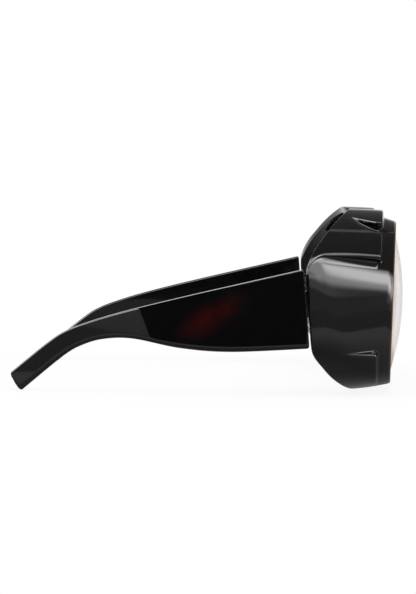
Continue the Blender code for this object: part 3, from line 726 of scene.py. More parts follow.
@dataclass
class CupShape:
    """The left cup's surfaces, as radius and angle round its axis and depth behind the rim's plane."""

    sizes: CupSizes = field(default_factory=CupSizes)
    lobes: LobeSizes = field(default_factory=LobeSizes)
    pad: PadSizes = field(default_factory=PadSizes)
    column_step: float = 1.3 * MM
    corner_shares: Triple = (0.33, 0.67, 1.0)
    wall_shares: Pair = (0.08, 0.92)
    band_rows: int = 4
    run_rows: int = 22
    back_rows: int = 7
    inner_rows: int = 12
    round_rows: int = 4
    small_round_rows: int = 3

    def __post_init__(self) -> None:
        """Work out the radii and directions that the methods share."""
        sizes = self.sizes
        self.shell = sizes.rim_radius + sizes.lobe_rise
        self.shell_front = sizes.rim_radius + sizes.lobe_front_rise
        self.lens_radius = sizes.rim_radius - sizes.rim_land
        self.opening = self.lens_radius - sizes.lens_grip
        self.throat = sizes.rim_radius - sizes.inner_throat
        self.throat_depth = sizes.lens_thickness + sizes.lens_lip + sizes.rear_lip
        wrap, lean, butt = sizes.front_wrap, sizes.front_lean, sizes.butt_lean
        level_back = Vector((-sine(wrap), cosine(wrap), 0))
        self.centre = Vector((sizes.rim_radius + sizes.nose_gap / 2, 0, 0))
        self.out = Vector((cosine(wrap), sine(wrap), 0))
        self.back = level_back * cosine(lean) + Vector((0, 0, sine(lean)))
        self.up = Vector((0, 0, cosine(lean))) - level_back * sine(lean)
        self.butt_normal = Vector((0, cosine(butt), -sine(butt)))
        outer_x = self.centre.x + self.shell * self.out.x + sizes.cup_depth * self.back.x
        self.hinge = Vector((outer_x - sizes.temple_thickness - sizes.axis_to_face, sizes.cup_depth, 0))

    def point(self, radius: float, angle: float, depth: float) -> Vector:
        """Place in space of a point of the cup."""
        across = self.out * (radius * cosine(angle)) + self.up * (radius * sine(angle))
        return self.centre + across + self.back * depth

    def place(self) -> Matrix:
        """Matrix from (out, up, back) coordinates about the cup's axis to space."""
        basis = Matrix((self.out, self.up, self.back)).transposed()
        return Matrix.Translation(self.centre) @ basis.to_4x4()

    def back_depth(self, radius: float, angle: float) -> float:
        """Depth of the back edge: slanted from nose to temple, and cut by the plane that the temple butts on.

        Args:
            radius: distance from the cup's axis.
            angle: angle round it.

        Returns:
            The depth.
        """
        sizes = self.sizes
        slant = (sizes.back_depth + sizes.back_depth_top * sine(angle)
                 + sizes.back_depth_side * max(cosine(angle), 0.0) ** sizes.side_power
                 - sizes.back_depth_nose * max(-cosine(angle), 0.0) ** sizes.nose_power)
        butt_point = self.hinge - self.butt_normal * (sizes.butt_gap / 2)
        reach = (butt_point - self.point(radius, angle, 0)).dot(self.butt_normal)
        return softer_least(slant, reach / self.back.dot(self.butt_normal), sizes.back_softness)

    def base_radius(self, angle: float, depth: float) -> float:
        """Radius of the plain flared wall, as it is between the lobes and under the cup.

        Args:
            angle: angle round the axis.
            depth: depth behind the rim.

        Returns:
            The radius.
        """
        sizes = self.sizes
        flare = mix(sizes.wall_flare, sizes.nose_flare, max(-cosine(angle), 0.0))
        return sizes.rim_radius + flare * sizes.flare_length * math.tanh(depth / sizes.flare_length)

    def full_radius(self, angle: float, depth: float) -> float:
        """Radius of the raised shell, crowned at its front and a little flattened where the temple meets it.

        Args:
            angle: angle round the axis.
            depth: depth behind the rim.

        Returns:
            The radius.
        """
        sizes = self.sizes
        crown = max(1 - depth / sizes.crown_length, 0.0)
        radius = self.shell - (self.shell - self.shell_front) * crown * crown
        off_side = min(angle % 360, -angle % 360)
        flat = sizes.side_flat * (1 - smooth_share(off_side, sizes.side_flat_half, sizes.side_flat_end))
        flat *= smooth_share(depth, self.lobes.setback, sizes.cup_depth)
        return radius * (1 + flat * (1 / cosine(min(off_side, sizes.side_flat_end)) - 1))

    def fade(self, angle: float, nose_loss: float, nose_end: float) -> float:
        """How full the shell stands over the plain wall.

        Args:
            angle: angle round the axis.
            nose_loss: the share that it loses on the upper nose side.
            nose_end: the angle where it has lost that.

        Returns:
            1 where it is full, easing to 0 under the cup.
        """
        if 0 <= angle <= 180:
            return 1 - nose_loss * smooth_share(angle, self.lobes.nose_loss_start, nose_end)
        return smooth_share((angle + 180) % 360 - 180, self.lobes.low_end, self.lobes.low_full)

    def shell_radius(self, angle: float, depth: float) -> float:
        """Radius of the lobes' outer surface."""
        share = self.fade(angle, self.lobes.nose_loss, self.lobes.nose_loss_end)
        return mix(self.base_radius(angle, depth), self.full_radius(angle, depth), share)

    def inner_radius(self, angle: float, depth: float) -> float:
        """Radius of the inner wall, which opens from the throat behind the lens to the back edge.

        Args:
            angle: angle round the axis.
            depth: depth behind the rim.

        Returns:
            The radius.
        """
        sizes = self.sizes
        fade = self.fade(angle, 1.0, self.lobes.nose_thin_end)
        back = self.back_depth(self.shell, angle)
        outer = mix(self.base_radius(angle, back), self.full_radius(0, back), fade)
        wall = mix(sizes.wall, sizes.side_wall, max(cosine(angle), 0.0) ** sizes.side_wall_power)
        share = max((depth - self.throat_depth) / (back - self.throat_depth), 0.0)
        return mix(self.throat, max(outer - wall, self.throat), share ** sizes.inner_power)

    def pad_swell(self, angle: float, depth: float) -> float:
        """How far the nose pad stands out of the wall.

        Args:
            angle: angle round the axis.
            depth: depth behind the rim.

        Returns:
            The height over the wall.
        """
        pad = self.pad
        along = math.radians(angle % 360 - pad.angle) * self.sizes.rim_radius / (pad.length / 2)
        across = (depth - pad.depth) / (pad.width / 2)
        return pad.proud * (1 - smooth_share(math.hypot(along, across), pad.crown, pad.foot))

    def lens_depth(self, radius: float) -> float:
        """Depth of the lens's outer face behind the rim's plane, negative where it bulges out."""
        at_edge, here = (math.sqrt(self.sizes.lens_curve ** 2 - r ** 2) for r in (self.lens_radius, radius))
        return self.sizes.lens_edge_depth - (here - at_edge)

    def column_angle(self, column: Column, share: float) -> float:
        """Angle of a column.

        Args:
            column: the column.
            share: share of the way from the lobe fronts to the back edge.

        Returns:
            The angle.
        """
        front, notch_end, back = column.angles
        run = self.lobes.notch_run
        if share < run:
            return mix(front, notch_end, (share / run) ** self.lobes.notch_curve)
        return mix(notch_end, back, ((share - run) / (1 - run)) ** 2)

    def floor(self, column: Column, angle: float, depth: float) -> float:
        """Radius of the floor, which climbs from the rim until it runs out into the shell.

        Args:
            column: the column.
            angle: its angle at this depth.
            depth: depth behind the rim.

        Returns:
            The radius.
        """
        lobes = self.lobes
        start = lobes.setback + lobes.corner_round + lobes.edge_round
        run_out = mix(start, self.back_depth(self.shell, angle) - self.sizes.back_edge_round, column.run)
        climbed = (depth / run_out) ** column.scoop
        climb = mix(self.sizes.rim_radius, self.shell_radius(angle, run_out), climbed)
        climbing = softer_least(climb, self.shell_radius(angle, depth), lobes.run_softness)
        return mix(climbing, self.base_radius(angle, depth), column.plain)

    def outer(self, column: Column, share: float, depth: float) -> float:
        """Radius of the outside, with its rounded edges and feet.

        Args:
            column: the column.
            share: share of the way from the lobe fronts to the back edge.
            depth: depth behind the rim.

        Returns:
            The radius.
        """
        angle = self.column_angle(column, share)
        floor, shell = self.floor(column, angle, depth), self.shell_radius(angle, depth)
        ease = min(max(shell - floor, 0.0) / (column.soft + column.hollow), 1.0)
        top = shell - ease * drop(column.off_edge, column.soft)
        bottom = floor + ease * drop(column.off_edge, column.hollow)
        return mix(bottom, top, column.rise) + self.pad_swell(angle, depth)

    def front_rows(self, column: Column) -> list[Pair]:
        """The front of a section, from the lens opening over the rim and up a lobe's front face.

        Args:
            column: the column.

        Returns:
            (radius, depth) pairs.
        """
        sizes, lobes, angle = self.sizes, self.lobes, column.angles[0]
        rim, soft, foot, edge = sizes.rim_radius, sizes.rim_round, lobes.foot_round, lobes.edge_round
        rows = [(self.opening + a, b) for a, b in arc(sizes.lens_lip / 2, self.small_round_rows)]
        rows += [(rim - soft - HAIR, 0.0)] + [(rim - b, a) for a, b in arc(soft, self.round_rows)]
        face = lobes.setback + lobes.corner_round
        if column.rise == 1.0:
            face = lobes.setback + drop(column.off_edge, lobes.corner_round)
        for i in range(self.band_rows):
            depth = mix(soft + HAIR, face - foot - HAIR, i / (self.band_rows - 1))
            rows.append((self.floor(column, angle, depth), depth))
        for inset, left in arc(foot, self.small_round_rows):
            low = self.floor(column, angle, face - left)
            ease = min((self.outer(column, 0, face - left) - low) / (edge + foot), 1.0)
            rows.append((low + max(ease, 0.0) * inset, face - left))
        for inset, left in arc(edge, self.round_rows):
            depth = face + lobes.face_draft + inset
            low, high = self.floor(column, angle, depth), self.outer(column, 0, depth)
            rows.append((high - max(min((high - low) / (edge + foot), 1.0), 0.0) * left, depth))
        depth += HAIR
        return rows + [(self.outer(column, 0, depth), depth)]

    def section(self, column: Column) -> list[Vector]:
        """One closed section: rim, outer wall, back edge, inner wall, throat and lens groove.

        Args:
            column: the column.

        Returns:
            Its points.
        """
        sizes, lobes, run = self.sizes, self.lobes, self.lobes.notch_run
        front_angle, back_angle = column.angles[0], column.angles[2]
        points = [self.point(r, front_angle, d) for r, d in self.front_rows(column)]
        inner_soft = sizes.back_edge_round
        soft = mix(inner_soft, sizes.low_edge_round, max(-sine(back_angle), 0.0) ** 2)
        start = lobes.setback + lobes.corner_round + lobes.face_draft + lobes.edge_round + 2 * HAIR
        end = self.back_depth(self.outer(column, 1, self.back_depth(self.shell, back_angle)), back_angle)
        shares = [run * i / self.run_rows for i in range(self.run_rows)]
        shares += [mix(run, 1, i / self.back_rows) for i in range(self.back_rows)]
        for share in shares + [1 - HAIR / (end - start), 1.0]:
            depth, angle = mix(start, end - soft, share), self.column_angle(column, share)
            points.append(self.point(self.outer(column, share, depth), angle, depth))
        outer_end, inner_end = self.outer(column, 1, end), self.inner_radius(back_angle, end)
        edge = [(outer_end - a, -b) for a, b in arc(soft, self.round_rows)[1:]]
        edge += [(inner_end + b, -a) for a, b in arc(inner_soft, self.round_rows)[:-1]]
        points += [self.point(r, back_angle, self.back_depth(r, back_angle) + d) for r, d in edge]
        for i in range(self.inner_rows + 1):
            share = 1 - i / self.inner_rows
            depth = mix(self.throat_depth + sizes.glazing_gap * 2, end - inner_soft, share)
            angle = self.column_angle(column, share)
            points.append(self.point(self.inner_radius(angle, depth), angle, depth))
        gap, groove = sizes.glazing_gap, self.lens_radius + sizes.glazing_gap
        near, far = self.lens_depth(self.opening), self.lens_depth(self.lens_radius)
        behind = sizes.lens_thickness + gap
        ends = ((self.opening, near + behind + sizes.rear_lip), (self.opening, near + behind),
                (groove, far + behind), (groove, far - gap), (self.opening, near - gap))
        return points + [self.point(radius, front_angle, depth) for radius, depth in ends]

    def edges(self) -> dict[str, Triple]:
        """Side edges of the lobes.

        Returns:
            Their angles at the fronts, at the notch ends and at the back edge, by name.
        """
        lobes = self.lobes
        wide = (lobes.top_half, lobes.notch_end_half, lobes.notch_end_half)
        gaps = (0.0, lobes.notch_end_width / 2, lobes.notch_back_width / 2)
        inner = [half - gap for half, gap in zip(wide, gaps)]
        outer = [half + gap for half, gap in zip(wide, (lobes.notch_width, *gaps[1:]))]
        return {
            "low_lobe": (lobes.low_high,) * 3,
            "side_low": (lobes.side_low, lobes.side_low, lobes.side_low - lobes.side_sweep),
            "side_high": tuple(90 - half for half in outer),
            "top_low": tuple(90 - half for half in inner),
            "top_high": tuple(90 + half for half in inner),
            "nose_high": tuple(90 + half for half in outer),
            "nose_low": (180 - lobes.side_low,) * 3,
            "bottom": (270.0,) * 3,
            "low_lobe_round": (360 + lobes.low_high,) * 3,
        }

    def sectors(self) -> tuple[Sector, ...]:
        """The floors and lobes all round the cup.

        Returns:
            The sectors in the order of their angles.
        """
        lobes = self.lobes
        notch, side, low, scoop = lobes.notch_run, lobes.side_run, lobes.low_run, lobes.notch_scoop
        return (
            Sector("low_lobe", "side_low", False, (low, side), last_foot=lobes.side_foot_round),
            Sector("side_low", "side_high", True, (side, notch), first_soft=lobes.side_lobe_round),
            Sector("side_high", "top_low", False, (notch, notch), scoop=scoop),
            Sector("top_low", "top_high", True, (notch, notch)),
            Sector("top_high", "nose_high", False, (notch, notch), scoop=scoop),
            Sector("nose_high", "nose_low", True, (notch, notch), (0, 1)),
            Sector("nose_low", "bottom", False, (notch, notch), (1, 1), wall_last=False),
            Sector("bottom", "low_lobe_round", True, (low, low), (1, 0), last_soft=lobes.low_lobe_round,
                   wall_first=False),
        )

    def edge_spots(self, soft: float) -> list[float]:
        """Columns close to an edge, over its round and as far as the lobe's front corner.

        Args:
            soft: radius of the edge.

        Returns:
            Their distances from the edge.
        """
        spots = [a for a, _ in arc(soft, self.round_rows + 1)] + [soft + HAIR]
        reach = max(self.lobes.corner_round, soft + 4 * HAIR)
        return spots + [mix(spots[-1], reach, share) for share in self.corner_shares]

    def sector_columns(self, sector: Sector) -> list[Column]:
        """Columns of one sector, close together at its rounded edges.

        Args:
            sector: the floor or lobe.

        Returns:
            Its columns in the order of their angles.
        """
        lobes = self.lobes
        start, end = (self.edges()[name] for name in (sector.first, sector.last))
        if not sector.raised:
            draft = [min(lobes.wall_draft, (b - a) * lobes.wall_draft_share) for a, b in zip(start, end)]
            start = tuple(a + d for a, d in zip(start, draft))
            if sector.wall_last:
                end = tuple(b - d for b, d in zip(end, draft))
        width = math.radians(end[0] - start[0]) * self.shell
        softs = (sector.first_soft or lobes.edge_round, sector.last_soft or lobes.edge_round)
        feet = (lobes.foot_round, sector.last_foot or lobes.foot_round)
        walls = (sector.wall_first, sector.wall_last)
        first, last = (self.edge_spots(radius) if wall else [0.0]
                       for radius, wall in zip(softs if sector.raised else feet, walls))
        count = max(round((width - last[-1] - first[-1]) / self.column_step), 2)
        spots = first + [mix(first[-1], width - last[-1], i / count) for i in range(1, count)]
        columns = []
        for spot in spots + [width - spot for spot in reversed(last)]:
            share, half = spot / width, spot > width / 2
            off_edge = min(d if wall else width for d, wall in zip((spot, width - spot), walls))
            angles = tuple(mix(a, b, share) for a, b in zip(start, end))
            columns.append(Column(angles, off_edge, softs[half], feet[half], float(sector.raised),
                                  mix(*sector.runs, share), mix(*sector.plain, share), sector.scoop))
        return columns

    def columns(self) -> list[Column]:
        """Columns all round the cup, with two more on each wall so that its shading stays flat.

        Returns:
            The columns in the order of their angles.
        """
        ring: list[Column] = []
        groups = [self.sector_columns(sector) for sector in self.sectors()]
        for group, following in zip(groups, groups[1:] + groups[:1]):
            ring += group
            here, there = group[-1], following[0]
            turn = 360.0 if there.angles[0] < here.angles[0] - 180 else 0.0
            for share in self.wall_shares if here.rise != there.rise else ():
                angles = tuple(mix(a, b + turn, share) for a, b in zip(here.angles, there.angles))
                blend = {name: mix(getattr(here, name), getattr(there, name), share)
                         for name in ("rise", "run", "plain", "scoop")}
                soft, hollow = max(here.soft, there.soft), max(here.hollow, there.hollow)
                ring.append(Column(angles, 0.0, soft, hollow, **blend))
        return ring

    def cup(self) -> Shape:
        """The left cup as one closed ring of sections."""
        return tube([self.section(column) for column in self.columns()], closed=True)


@dataclass
class FrontMoulding:
    """The one-piece front: two lobed cups, the bridge between them and the seats of the hinge leaves."""

    cup: CupShape
    hinge: "BarrelHinge"
    origin: Vector
    bridge_low: float = 1.0 * MM
    bridge_high: float = 13.0 * MM
    bridge_front: float = 1.2 * MM
    bridge_back: float = 8.5 * MM
    bridge_round: float = 1.6 * MM
    bridge_bite: float = 0.9 * MM
    bridge_waist: float = 0.22
    bridge_rise: float = 1.2 * MM
    bridge_flare: float = 0.12
    bridge_flare_reach: float = 0.12
    bridge_rings: int = 24
    seat_border: float = 1.2 * MM
    seat_depth: float = 2.6 * MM
    seat_setback: float = 0.5 * MM
    seat_edge: float = 0.25 * MM
    corner_steps: int = 6
    seat_corner_steps: int = 5
    seat_edge_steps: int = 3

    def bridge(self) -> Shape:
        """Saddle bridge lofted from cup to cup, waisted, a little raised, and flared into the cups.

        Returns:
            The bridge, which ends inside both cups.
        """
        cup = self.cup
        low, high = Vector((self.bridge_front, self.bridge_low)), Vector((self.bridge_back, self.bridge_high))
        ends = []
        for spot in rounded_rectangle(low, high, self.bridge_round, self.corner_steps):
            radius = cup.base_radius(180, spot.x) - self.bridge_bite
            ends.append(cup.point(radius, 180 - math.degrees(math.asin(spot.y / radius)), spot.x))
        middle_y = cup.point(cup.sizes.rim_radius, 180, (low.x + high.x) / 2).y
        middle = (low.y + high.y) / 2
        rings = []
        for i in range(self.bridge_rings + 1):
            share = 1 - 2 * i / self.bridge_rings
            narrow = 1 - share * share
            flare = 1 + self.bridge_flare * math.exp((abs(share) - 1) / self.bridge_flare_reach)
            lift, waist = self.bridge_rise * narrow, 1 - self.bridge_waist * narrow
            rings.append([Vector((p.x * share, middle_y + (p.y - middle_y) * flare,
                                  middle + (p.z - middle) * waist * flare + lift)) for p in ends])
        return tube(rings)

    def seat(self) -> Shape:
        """Flat seat for the hinge leaf, with softened edges.

        Returns:
            The seat in the left hinge's frame.
        """
        half = self.hinge.barrel_height / 2 + self.seat_border
        low = Vector((-self.hinge.leaf_length - self.seat_border, -half))
        high = Vector((-self.cup.sizes.butt_gap / 2 - self.seat_setback, half))
        face = self.cup.sizes.axis_to_face
        rings = []
        for rise, inset in arc(self.seat_edge, self.seat_edge_steps):
            shrink = Vector((inset, inset))
            ends, radius = (low + shrink, high - shrink), self.seat_border - inset
            outline = rounded_rectangle(*ends, radius, self.seat_corner_steps)
            rings.append([Vector((face + rise, p.x, p.y)) for p in outline])
        return tube(rings + [[Vector((face + self.seat_depth, p.y, p.z)) for p in rings[-1]]])

    def build(self, material: bpy.types.Material, hinge_place: Matrix) -> bpy.types.Object:
        """Build the moulding and let it ride on the front.

        Args:
            material: the gloss moulding.
            hinge_place: the left hinge's frame, before the goggles are set down.

        Returns:
            The finished piece.
        """
        cup, seat = self.cup.cup(), moved(self.seat(), hinge_place)
        front = new_object("front_moulding", joined([sided(cup, side) for side in Side]))
        with_boolean(front, joined([self.bridge(), *(sided(seat, side) for side in Side)]), "UNION")
        front.data.transform(Matrix.Translation(self.origin))
        return hand_over(front, material, "front", "black_plastic", "front_frame")


@dataclass
class DomedLens:
    """A domed lens of even thickness, shaped by rule in a node tree."""

    cup: CupShape
    origin: Vector
    rings: int = 22
    sides: int = 128
    crowding: float = 0.85
    merge_distance: float = 0.001 * MM

    def tree(self) -> bpy.types.NodeTree:
        """Node tree that folds a grid into the lens: one way is round the axis, the other over its section.

        Returns:
            The tree.
        """
        sizes = ("Radius", "Curve", "Thickness", "Edge Depth")
        tree, add, given = new_shape_tree("domed_lens", dict.fromkeys(sizes, "Float"))
        edge_radius, curve, thickness, edge_depth = (given.outputs[name] for name in sizes)
        grid = add("GeometryNodeMeshGrid", (1.0, 1.0, 2 * self.rings, self.sides + 1))
        across = add(SPLIT, (grid.outputs["UV Map"],)).outputs
        # 0 at the front pole, 1 at both points of the edge, 0 again at the back pole
        off_edge = add(MATH, (add(MATH, (across["X"], 2.0, -1.0), "MULTIPLY_ADD"),), "ABSOLUTE")
        fold = add(MATH, (1.0, off_edge), "SUBTRACT")
        stretched = add(MATH, (fold, (2 * self.rings - 1) / (2 * self.rings - 2)), "MULTIPLY")
        reach = add(MATH, (stretched, 1.0), "MINIMUM")
        radius = add(MATH, (add(MATH, (reach, self.crowding), "POWER"), edge_radius), "MULTIPLY")
        squared = add(MATH, (curve, curve), "MULTIPLY")
        edge, here = (
            add(MATH, (add(MATH, (squared, add(MATH, (r, r), "MULTIPLY")), "SUBTRACT"),), "SQRT")
            for r in (edge_radius, radius)
        )
        front = add(MATH, (edge_depth, add(MATH, (here, edge), "SUBTRACT")), "SUBTRACT")
        behind = add(MATH, (add(MATH, (across["X"], 0.5), "GREATER_THAN"), thickness), "MULTIPLY")
        turn = add(MATH, (across["Y"], 2 * math.pi), "MULTIPLY")
        x, y = (add(MATH, (radius, add(MATH, (turn,), way)), "MULTIPLY") for way in ("COSINE", "SINE"))
        spot = add("ShaderNodeCombineXYZ", (x, y, add(MATH, (front, behind), "ADD")))
        folded = add("GeometryNodeSetPosition", {"Geometry": grid, "Position": spot})
        share = {"Geometry": folded, "Name": "rim_share", "Value": reach}
        marked = add("GeometryNodeStoreNamedAttribute", share)
        merged = add("GeometryNodeMergeByDistance", {"Geometry": marked, "Distance": self.merge_distance})
        end_shape_tree(add, merged, given)
        return tree

    def build(self, side: Side, tree: bpy.types.NodeTree, material: bpy.types.Material) -> bpy.types.Object:
        """Build one lens and let it ride on the front.

        Args:
            side: the wearer's right or left.
            tree: the tree made by tree().
            material: the lens finish.

        Returns:
            The finished piece.
        """
        sizes = self.cup.sizes
        lens = new_object(f"clear_lens_{side.word}", ([], []))
        shaped_by(lens, tree, {
            "Radius": self.cup.lens_radius, "Curve": sizes.lens_curve, "Thickness": sizes.lens_thickness,
            "Edge Depth": sizes.lens_edge_depth, "Material": material})
        lens.data.transform(Matrix.Translation(self.origin) @ self.cup.place())
        flip(lens.data, side)
        point_outwards(lens.data)
        return hand_over(lens, material, "front", "lens_plastic", f"lens_{side.word}")


@dataclass
class Temple:
    """A wide slab temple that narrows to a bent tip; outlines are shares of its length and root height."""

    cup: CupSizes
    length: float = 131.4 * MM
    height: float = 34.4 * MM
    tip_thickness: float = 4.2 * MM
    tip_thin_share: float = 0.3
    tip_bend: float = 6 * MM
    bend_start: float = 0.42
    taper_start: float = 0.2
    top_shares: tuple[Pair, ...] = (
        (0.0, 0.459), (0.251, 0.317), (0.426, 0.215), (0.586, 0.113),
        (0.700, 0.023), (0.795, -0.080), (0.866, -0.224), (1.003, -0.584),
    )
    low_shares: tuple[Pair, ...] = (
        (0.0, -0.541), (0.259, -0.509), (0.426, -0.413), (0.578, -0.252),
        (0.674, -0.228), (0.748, -0.284), (0.818, -0.412), (0.973, -0.826),
    )
    low_bevel: float = 2.4 * MM
    low_bevel_power: float = 2.3
    top_bevel: float = 0.45 * MM
    inner_bevel: float = 0.8 * MM
    root_edge: float = 0.5 * MM
    root_top_round: float = 1.4 * MM
    root_low_round: float = 1.8 * MM
    tip_round: float = 2.2 * MM
    divisions: int = 12
    round_steps: int = 6
    root_edge_steps: int = 3
    tip_steps: int = 7

    def edge_point(self, shares: tuple[Pair, ...], place: float) -> Vector:
        """Point of an edge on a smooth curve through its share points.

        Args:
            shares: the share points.
            place: 0 at the first of them to 1 at the last.

        Returns:
            The point, as (along, up).
        """
        spans = len(shares) - 1
        span = min(int(place * spans), spans - 1)
        t = place * spans - span
        before, start, end, after = (Vector(shares[min(max(span + i, 0), spans)]) for i in (-1, 0, 1, 2))
        blend = (start * 2 + (end - before) * t + (before * 2 - start * 5 + end * 4 - after) * t ** 2
                 + (start * 3 - before - end * 3 + after) * t ** 3) / 2
        return Vector((blend.x * self.length, blend.y * self.height))

    def corner(self, radius: float, power: float = 2.0) -> list[Pair]:
        """Points of one rounded corner, with one more on each face close to it.

        Args:
            radius: the corner's size.
            power: 2 for a round corner; more makes it squarer.

        Returns:
            Their distances from the side face and from the edge face, from the side face on.
        """
        bend = [(radius * (1 - math.cos(t) ** (2 / power)), radius * (1 - math.sin(t) ** (2 / power)))
                for t in quarter(self.round_steps)]
        return [(0.0, radius + HAIR), *bend, (radius + HAIR, 0.0)]

    def section(self, place: float, from_root: float, from_tip: float) -> list[Vector]:
        """One closed section.

        Args:
            place: where the edges stand, from 0 to 1.
            from_root: distance from the root.
            from_tip: distance from the tip.

        Returns:
            Its points in the left hinge's frame.
        """
        top, low = self.edge_point(self.top_shares, place), self.edge_point(self.low_shares, place)
        up = (top - low).normalized()
        tip_drop = drop(from_tip, self.tip_round)
        top -= up * (drop(from_root, self.root_top_round) + tip_drop)
        low += up * (drop(from_root, self.root_low_round) + tip_drop)
        height, along = (top - low).length, (top.x + low.x) / 2 / self.length
        taper = smooth_share(along, self.taper_start, 1)
        thickness = mix(self.cup.temple_thickness, self.tip_thickness, taper)
        trim = drop(from_root, self.root_edge) + tip_drop * self.tip_thin_share
        outer, middle, inner = thickness - trim, thickness / 2, self.corner(self.inner_bevel)
        outline = [(trim + a, b) for a, b in inner] + [(middle, 0.0)]
        outline += [(outer - a, b) for a, b in reversed(self.corner(self.low_bevel, self.low_bevel_power))]
        outline += [(outer - a, height - b) for a, b in self.corner(self.top_bevel)] + [(middle, height)]
        outline += [(trim + a, height - b) for a, b in reversed(inner)]
        points = []
        for across, upward in outline:
            spot = low + up * upward
            bend = max(spot.x / self.length - self.bend_start, 0.0) / (1 - self.bend_start)
            outwards = self.cup.axis_to_face + across - self.tip_bend * bend ** 2
            points.append(Vector((outwards, self.cup.butt_gap / 2 + spot.x, spot.y)))
        return points

    def stations(self) -> list[Triple]:
        """Places of the sections, closer together at the rounded ends.

        Returns:
            (place, distance from the root, distance from the tip) of each.
        """
        spans, far = len(self.top_shares) - 1, self.length
        first, last = (
            (self.edge_point(self.top_shares, b) - self.edge_point(self.top_shares, a)).length
            for a, b in ((0, 1 / spans), (1 - 1 / spans, 1))
        )
        low_round = [a for a, _ in arc(self.root_low_round, self.round_steps)]
        near = sorted({*low_round, *(a for a, _ in arc(self.root_edge, self.root_edge_steps)),
                       self.root_edge + HAIR, self.root_low_round + HAIR})
        tips = [self.tip_round + HAIR, *(a for a, _ in reversed(arc(self.tip_round, self.tip_steps)))]
        count = spans * self.divisions
        return ([(d / first / spans, d, far) for d in near] + [(i / count, far, far) for i in range(1, count)]
                + [(1 - d / last / spans, far, d) for d in tips])

    def build(self, side: Side, material: bpy.types.Material, hinge_place: Matrix) -> bpy.types.Object:
        """Build one temple and let it ride on its body.

        Args:
            side: the wearer's right or left.
            material: the gloss moulding.
            hinge_place: the left hinge's frame in its final place.

        Returns:
            The finished piece.
        """
        points, faces = moved(tube([self.section(*station) for station in self.stations()]), hinge_place)
        temple = new_object(f"temple_arm_{side.word}", sided((points, [face[::-1] for face in faces]), side))
        return hand_over(temple, material, f"{side.word}_temple", "black_plastic", f"temple_{side.word}")


